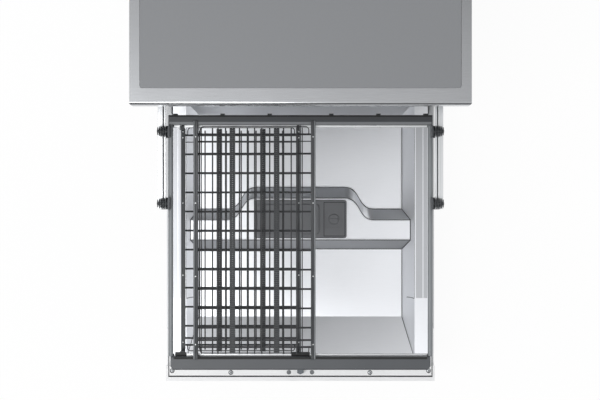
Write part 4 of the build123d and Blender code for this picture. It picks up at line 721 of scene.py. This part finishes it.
# Upper and lower baskets: coated steel wire, bent and spot-welded. Floor wires turn up into the walls, three rings
# run round the sides, and rows of short prongs stand on the floor.
basket_wire_radius = 0.0019
prong_wire_radius = basket_wire_radius * 0.9
rim_wire_radius = 0.0026
rim_corner = 0.022
wall_bend = 0.012
floor_lift = 0.002
low_ring_lift = 0.006
end_wire_inset = 0.02
cross_lift = 0.0003
prong_foot = 0.002
basket_columns, basket_rows = 14, 12


def wire_basket(node, body, prong_places, prong_height):
    """A basket's wires in the space of its CAD node. The rows of prongs are placed from its front."""
    low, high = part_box(node)
    r = rim_wire_radius
    x0, x1, y0, y1 = low.x + r, high.x - r, low.y + r, high.y - r
    floor_z, rim_z = low.z + floor_lift, high.z - r
    width, length = x1 - x0 - 2 * end_wire_inset, y1 - y0 - 2 * end_wire_inset
    corners = [(x0, y0), (x1, y0), (x1, y1), (x0, y1)]
    rings = [ring_path([(x, y, z) for x, y in corners], rim_corner)
             for z in (rim_z, floor_z + (rim_z - floor_z) * 0.5, floor_z + low_ring_lift)]
    rim = wires(f"{node}_rings", rings, rim_wire_radius, dark_coated_wire, body)
    runs = []
    for i in range(basket_columns + 1):
        x = x0 + end_wire_inset + width * i / basket_columns
        runs.append(rounded([(x, y0, rim_z), (x, y0, floor_z), (x, y1, floor_z), (x, y1, rim_z)], wall_bend))
    cross_z = floor_z + cross_lift
    for i in range(basket_rows + 1):
        y = y0 + end_wire_inset + length * i / basket_rows
        runs.append(rounded([(x0, y, rim_z), (x0, y, cross_z), (x1, y, cross_z), (x1, y, rim_z)], wall_bend))
    net = wires(f"{node}_net", runs, basket_wire_radius, dark_coated_wire, body)
    runs = []
    for place in prong_places:
        for i in range(basket_columns):
            x, y = x0 + end_wire_inset + width * (i + 0.5) / basket_columns, low.y + place
            runs.append([(x, y, floor_z + prong_foot), (x, y, floor_z + prong_height)])
    prongs = wires(f"{node}_prongs", runs, prong_wire_radius, dark_coated_wire, body)
    for piece in (rim, net, prongs):
        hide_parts(node)


wire_basket("upper_basket", "upper_rack", (0.13, 0.35), 0.055)
wire_basket("lower_basket", "lower_rack", (0.09, 0.17), 0.06)

# Folding tines: a rod across the lower basket with a comb of upright wires welded to it, in the same dark coat. The
# whole comb tips to the front.
tine_radius = 0.0019
tine_pitch = 0.0265
tine_top_gap = 0.0005
tine_low, tine_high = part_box("lower_tines")
tine_y = (tine_low.y + tine_high.y) / 2
tine_rod_z = tine_low.z + 0.002
tine_runs = [[(tine_low.x, tine_y, tine_rod_z), (tine_high.x, tine_y, tine_rod_z)]]
tine_count = int((tine_high.x - tine_low.x) / tine_pitch)
for i in range(tine_count):
    x = (i - (tine_count - 1) / 2) * tine_pitch
    tine_runs.append([(x, tine_y, tine_rod_z), (x, tine_y, tine_high.z - tine_top_gap)])
tines = wires("folding_tines", tine_runs, tine_radius, dark_coated_wire, "lower_tines")
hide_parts("lower_tines")

# Lower wheels: acetal discs like the rollers, with a rounded tread, a sunk web on both faces and a raised hub. Clips
# hold them to the basket.
wheel_width = 0.008
wheel_bore = 0.0042
tread_round = 0.0012
web_depth = 0.0016
hub_edge, web_start, web_end, tread_start = 0.4, 0.45, 0.78, 0.84


def basket_wheels(node):
    """The two wheels of one axle line: an outline of one face, and the same again on the other."""
    low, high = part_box(node)
    radius = (high.y - low.y) / 2
    face = [(0, wheel_bore), (0, radius * hub_edge), (web_depth, radius * web_start), (web_depth, radius * web_end),
            (0, radius * tread_start), (0, radius - tread_round), (tread_round, radius)]
    outline = face + [(wheel_width - offset, level) for offset, level in reversed(face)]
    turned_pair(node, wheel_width, outline)


for node in ("lower_wheels_rear", "lower_wheels_front"):
    basket_wheels(node)

# Door: the outer pan is coated like the cabinet. The liner is one pressing of bright stainless, brushed along the
# machine's width, whose level parts mirror the room above and whose ramps look grey.
dress(silver_coat, "door_outer_panel", edge=0.0005)
liner_stainless = brushed_metal("liner_stainless", "ebedf1", 0.41, 0.0012, (0.06, 1, 1), 0.02, 0.015)
dress(liner_stainless, "door_liner", edge=0.0012)

# Creases of the liner: wherever the sheet turns, a thin dark line of painted shade and a bright line of painted
# highlight stand for the crease's shadow and the ridge's glint. They are drawn as fine beads in the sheet, along the
# band's two crests, the dish's rim and the folds near each side. Beside them run darker strips of painted shade on
# the flange next to the folds.
crease_shade_steel = brushed_metal("crease_shade_steel", "3c3e42", 0.4, 0.001, (1, 1, 1), 0.05, 0.01)
ridge_highlight_steel = brushed_metal("ridge_highlight_steel", "f4f5f7", 0.3, 0.001, (1, 1, 1), 0.02, 0.01)
fold_shade_steel = brushed_metal("fold_shade_steel", "bcbec2", 0.4, 0.0012, (1, 0.06, 1), 0.03, 0.015)
crease_radius = 0.0007
ridge_radius = 0.0006
band_z = 0.180
dish_z = 0.160
level_slack = 0.0004
sheet_points = [nodes["door_liner"].matrix_world @ v.co for v in nodes["door_liner"].data.vertices]
flange_z = max(p.z for p in sheet_points)
crest, foot = {}, {}
for p in sheet_points:
    key = round(p.x, 4)
    if abs(p.z - band_z) < level_slack and -0.24 < p.y < -0.14 and abs(p.x) < 0.2440:
        crest[key] = max(crest.get(key, -1.0), p.y)
    if abs(p.z - dish_z) < level_slack and -0.215 < p.y < -0.12 and abs(p.x) < 0.2262:
        foot[key] = min(foot.get(key, 0.0), p.y)
front_edge = min(p.y for p in sheet_points if abs(p.z - band_z) < level_slack and -0.30 < p.y < -0.25)


def bead_run(line, level, offset):
    """A line of the press, moved a little to the front, at the level of its sheet."""
    return [(x, line[x] - offset, level) for x in sorted(line)]


fold_x = 0.2700
rim_x = 0.2520
side_rear, side_front = -0.0150, -0.3995
lift = 0.0002
bead_z = flange_z - 0.00065
band_half, foot_half = max(crest), max(foot)
crest_y, foot_y = crest[band_half], foot[foot_half]
step_y = front_edge - 0.020
ramp_y, ramp_end = -0.4425, -0.5325
dark_runs = [bead_run(crest, band_z + lift, 0.0004), bead_run(foot, dish_z + lift, -0.0002),
             [(-band_half, front_edge + 0.0006, band_z + lift), (band_half, front_edge + 0.0006, band_z + lift)],
             [(-foot_half, step_y, dish_z + lift), (foot_half, step_y, dish_z + lift)]]
bright_runs = [bead_run(crest, band_z + lift, 0.0024), bead_run(foot, dish_z + lift, -0.0020),
               [(-band_half, front_edge + 0.0026, band_z + lift), (band_half, front_edge + 0.0026, band_z + lift)]]
for side in (-1, 1):
    for x in (side * fold_x, side * rim_x):
        dark_runs.append([(x, side_rear, bead_z), (x, side_front, bead_z)])
    # a short fold across the dish's slope, where the strips of painted shade end
    dark_runs.append([(side * 0.2360, side_front + 0.0010, 0.1722), (side * 0.2440, side_front + 0.0008, 0.1812),
                      (side * 0.2512, side_front - 0.0010, flange_z - 0.0003)])
    # round the dish: down its side, up over the end of the band, down again, and up the end ramp
    edge_x, end_x = side * (foot_half - 0.0004), side * (band_half - 0.0004)
    dark_runs.append([(edge_x, side_rear, dish_z + lift), (edge_x, foot_y, dish_z + lift),
                      (end_x, crest_y, band_z + lift), (end_x, front_edge, band_z + lift),
                      (edge_x, step_y, dish_z + lift), (edge_x, ramp_y, dish_z + lift),
                      (side * (rim_x - 0.0008), ramp_end, bead_z)])
    bright_x = edge_x - side * 0.0022
    bright_runs.append([(bright_x, side_rear, dish_z + lift), (bright_x, foot_y, dish_z + lift)])
# painted shade lines along the creases, and painted highlight lines along the ridges
crease_shades = wires("liner_crease_shades", dark_runs, crease_radius, crease_shade_steel, "door", 6)
ridge_highlights = wires("liner_ridge_highlights", bright_runs, ridge_radius, ridge_highlight_steel, "door", 6)
# painted shade: darker strips on the flange beside each side's folds
fold_shade_edges = ((0.2545, 0.2695), (0.2712, 0.2800))
fold_shade_base, fold_shade_top = flange_z - 0.0008, flange_z + lift
fold_shade_plates = [(plate(*sorted((side * inner, side * outer)), fold_shade_base, fold_shade_top), side_front, side_rear)
               for side in (-1, 1) for inner, outer in fold_shade_edges]
fold_shades = profiles("liner_fold_shade_strips", "Y", fold_shade_plates, fold_shade_steel, "door", 0.0004)

# Dispenser: a dark grey moulded unit with a sliding lid over the detergent chamber and a cap for the rinse aid.
# Fine black joints show round the unit and round the rinse-aid module.
dispenser_plastic = moulded_plastic("dispenser_plastic", "6a6c70", "747679", 0.4)
dress(dispenser_plastic, "dispenser_body", "dispenser_lid", "rinse_aid_cap", edge=0.0008)
seam_shadow = moulded_plastic("seam_shadow", "1b1c1e", "242527", 0.7)
unit_low, unit_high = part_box("dispenser_body")
joint_width = 0.0012
joint_base, joint_top = unit_high.z - 0.0006, unit_high.z + 0.0002
module_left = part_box("dispenser_lid")[1].x + 0.0105
module_right, module_front, module_rear = unit_high.x - 0.0030, unit_low.y + 0.0040, unit_high.y - 0.0045
unit_left, unit_right = unit_low.x + 0.006, unit_high.x - 0.006
rim_gap = 0.0002
joints = [(plate(module_front, module_rear, joint_base, joint_top), start, start + joint_width)
          for start in (module_left, module_right - joint_width)]
joints += [(plate(y, y + joint_width, joint_base, joint_top), module_left, module_right)
           for y in (module_front, module_rear - joint_width)]
joints.append((plate(unit_high.y - joint_width, unit_high.y - rim_gap, joint_base, joint_top), unit_left, unit_right))
joints.append((plate(unit_low.y + rim_gap, unit_low.y + joint_width, joint_base, joint_top), unit_left, unit_right))
seams = profiles("dispenser_seams", "X", joints, seam_shadow, "door")

# Control panel and buttons: silver-grey ABS, moulded with a satin face. A dark joint shows where the panel's front
# and ends fold over. Striker: a bent steel loop, zinc-coated and passivated dark.
silver_abs = moulded_plastic("silver_abs", "e6e7e8", "eeeff0", 0.34)
dress(silver_abs, "control_panel", "power_button", "start_button", edge=0.0006)
panel_low, panel_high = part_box("control_panel")
seam_y = panel_low.y + 0.0086
seam_width = 0.0030
seam_overlap = 0.0003
seam_end = -0.494
seam_base, seam_top = panel_high.z - 0.0006, panel_high.z + 0.0003
seam_outer, seam_inner = 0.2915, 0.2895
side_seam = plate(seam_y + seam_width - seam_overlap, seam_end, seam_base, seam_top)
panel_seam = profiles("panel_seam", "X", [
    (plate(seam_y, seam_y + seam_width, seam_base, seam_top), -seam_outer, seam_outer),
    (side_seam, -seam_outer, -seam_inner), (side_seam, seam_inner, seam_outer)], seam_shadow, "door")
dark_zinc_sheet = brushed_metal("dark_zinc_sheet", "5e6266", 0.45, 0.001, (1, 1, 1), 0.08, 0.02)
dress(dark_zinc_sheet, "latch_striker", edge=0.0005)

# Panel fasteners: pan-head screws of zinc-coated steel, bright, with a black cross and a black ring under the head
# painted as the shade of the cross recess and under the head, and two matt grey rubber buffers beside the striker.
screw_steel = brushed_metal("screw_steel", "b9bcbf", 0.35, 0.0008, (1, 1, 1), 0.06, 0.02)
# painted shade: black for the shade in the screws' cross recesses, under their heads and in the countersinks
recess_shade_black = moulded_plastic("recess_shade_black", "2a2b2d", "353638", 0.6)
buffer_rubber = moulded_plastic("buffer_rubber", "6c6f72", "777a7d", 0.6)
head_sides = 20
head_y = -0.5640
head_z = panel_high.z - 0.0002
corner_y = head_y + 0.0040
screw_places = [(-0.1535, head_y, head_z), (0.1535, head_y, head_z),
                (-0.2830, corner_y, head_z), (0.2830, corner_y, head_z)]
screw_rings = ((0.0042, 0.0), (0.0042, 0.0008), (0.0030, 0.0018), (0.0016, 0.0020))
seat_shade_rings = ((0.0053, 0.0), (0.0053, 0.0004))
screws = turned_heads("panel_screws", screw_places, screw_rings, head_sides, screw_steel, "door")
seat_shades = turned_heads("panel_screw_seat_shades", [(x, y, z - 0.0001) for x, y, z in screw_places],
                       seat_shade_rings, head_sides, recess_shade_black, "door")
cross_long, cross_short = 0.0018, 0.0005
cross_recess_shades = [(plate(y - deep, y + deep, z + 0.0014, z + 0.0022), x - wide, x + wide) for x, y, z in screw_places
            for wide, deep in ((cross_long, cross_short), (cross_short, cross_long))]
crosses = profiles("panel_screw_crosses", "X", cross_recess_shades, recess_shade_black, "door")
buffer_places = [(-0.0255, head_y + 0.0005, head_z), (0.0255, head_y + 0.0005, head_z)]
buffer_rings = ((0.0048, 0.0), (0.0048, 0.0016), (0.0036, 0.0024), (0.0016, 0.0024))
buffers = turned_heads("striker_buffers", buffer_places, buffer_rings, head_sides, buffer_rubber, "door")

# Liner fasteners: flush screws of the same steel along each side of the liner, outside the strips of painted shade.
# Each sits in a black ring painted as the shade of its countersink.
liner_screw_x = 0.2835
liner_screw_ys = (-0.2540, -0.4480, -0.4845)
sunk_places = [(side * liner_screw_x, y, flange_z) for side in (-1, 1) for y in liner_screw_ys]
countersink_shade_rings = ((0.0029, -0.0004), (0.0029, 0.00008))
sunk_rings = ((0.0020, -0.0004), (0.0020, 0.00014))
countersink_shades = turned_heads("liner_screw_countersink_shades", sunk_places, countersink_shade_rings, head_sides, recess_shade_black, "door")
sunk = turned_heads("liner_screws", sunk_places, sunk_rings, head_sides, screw_steel, "door")
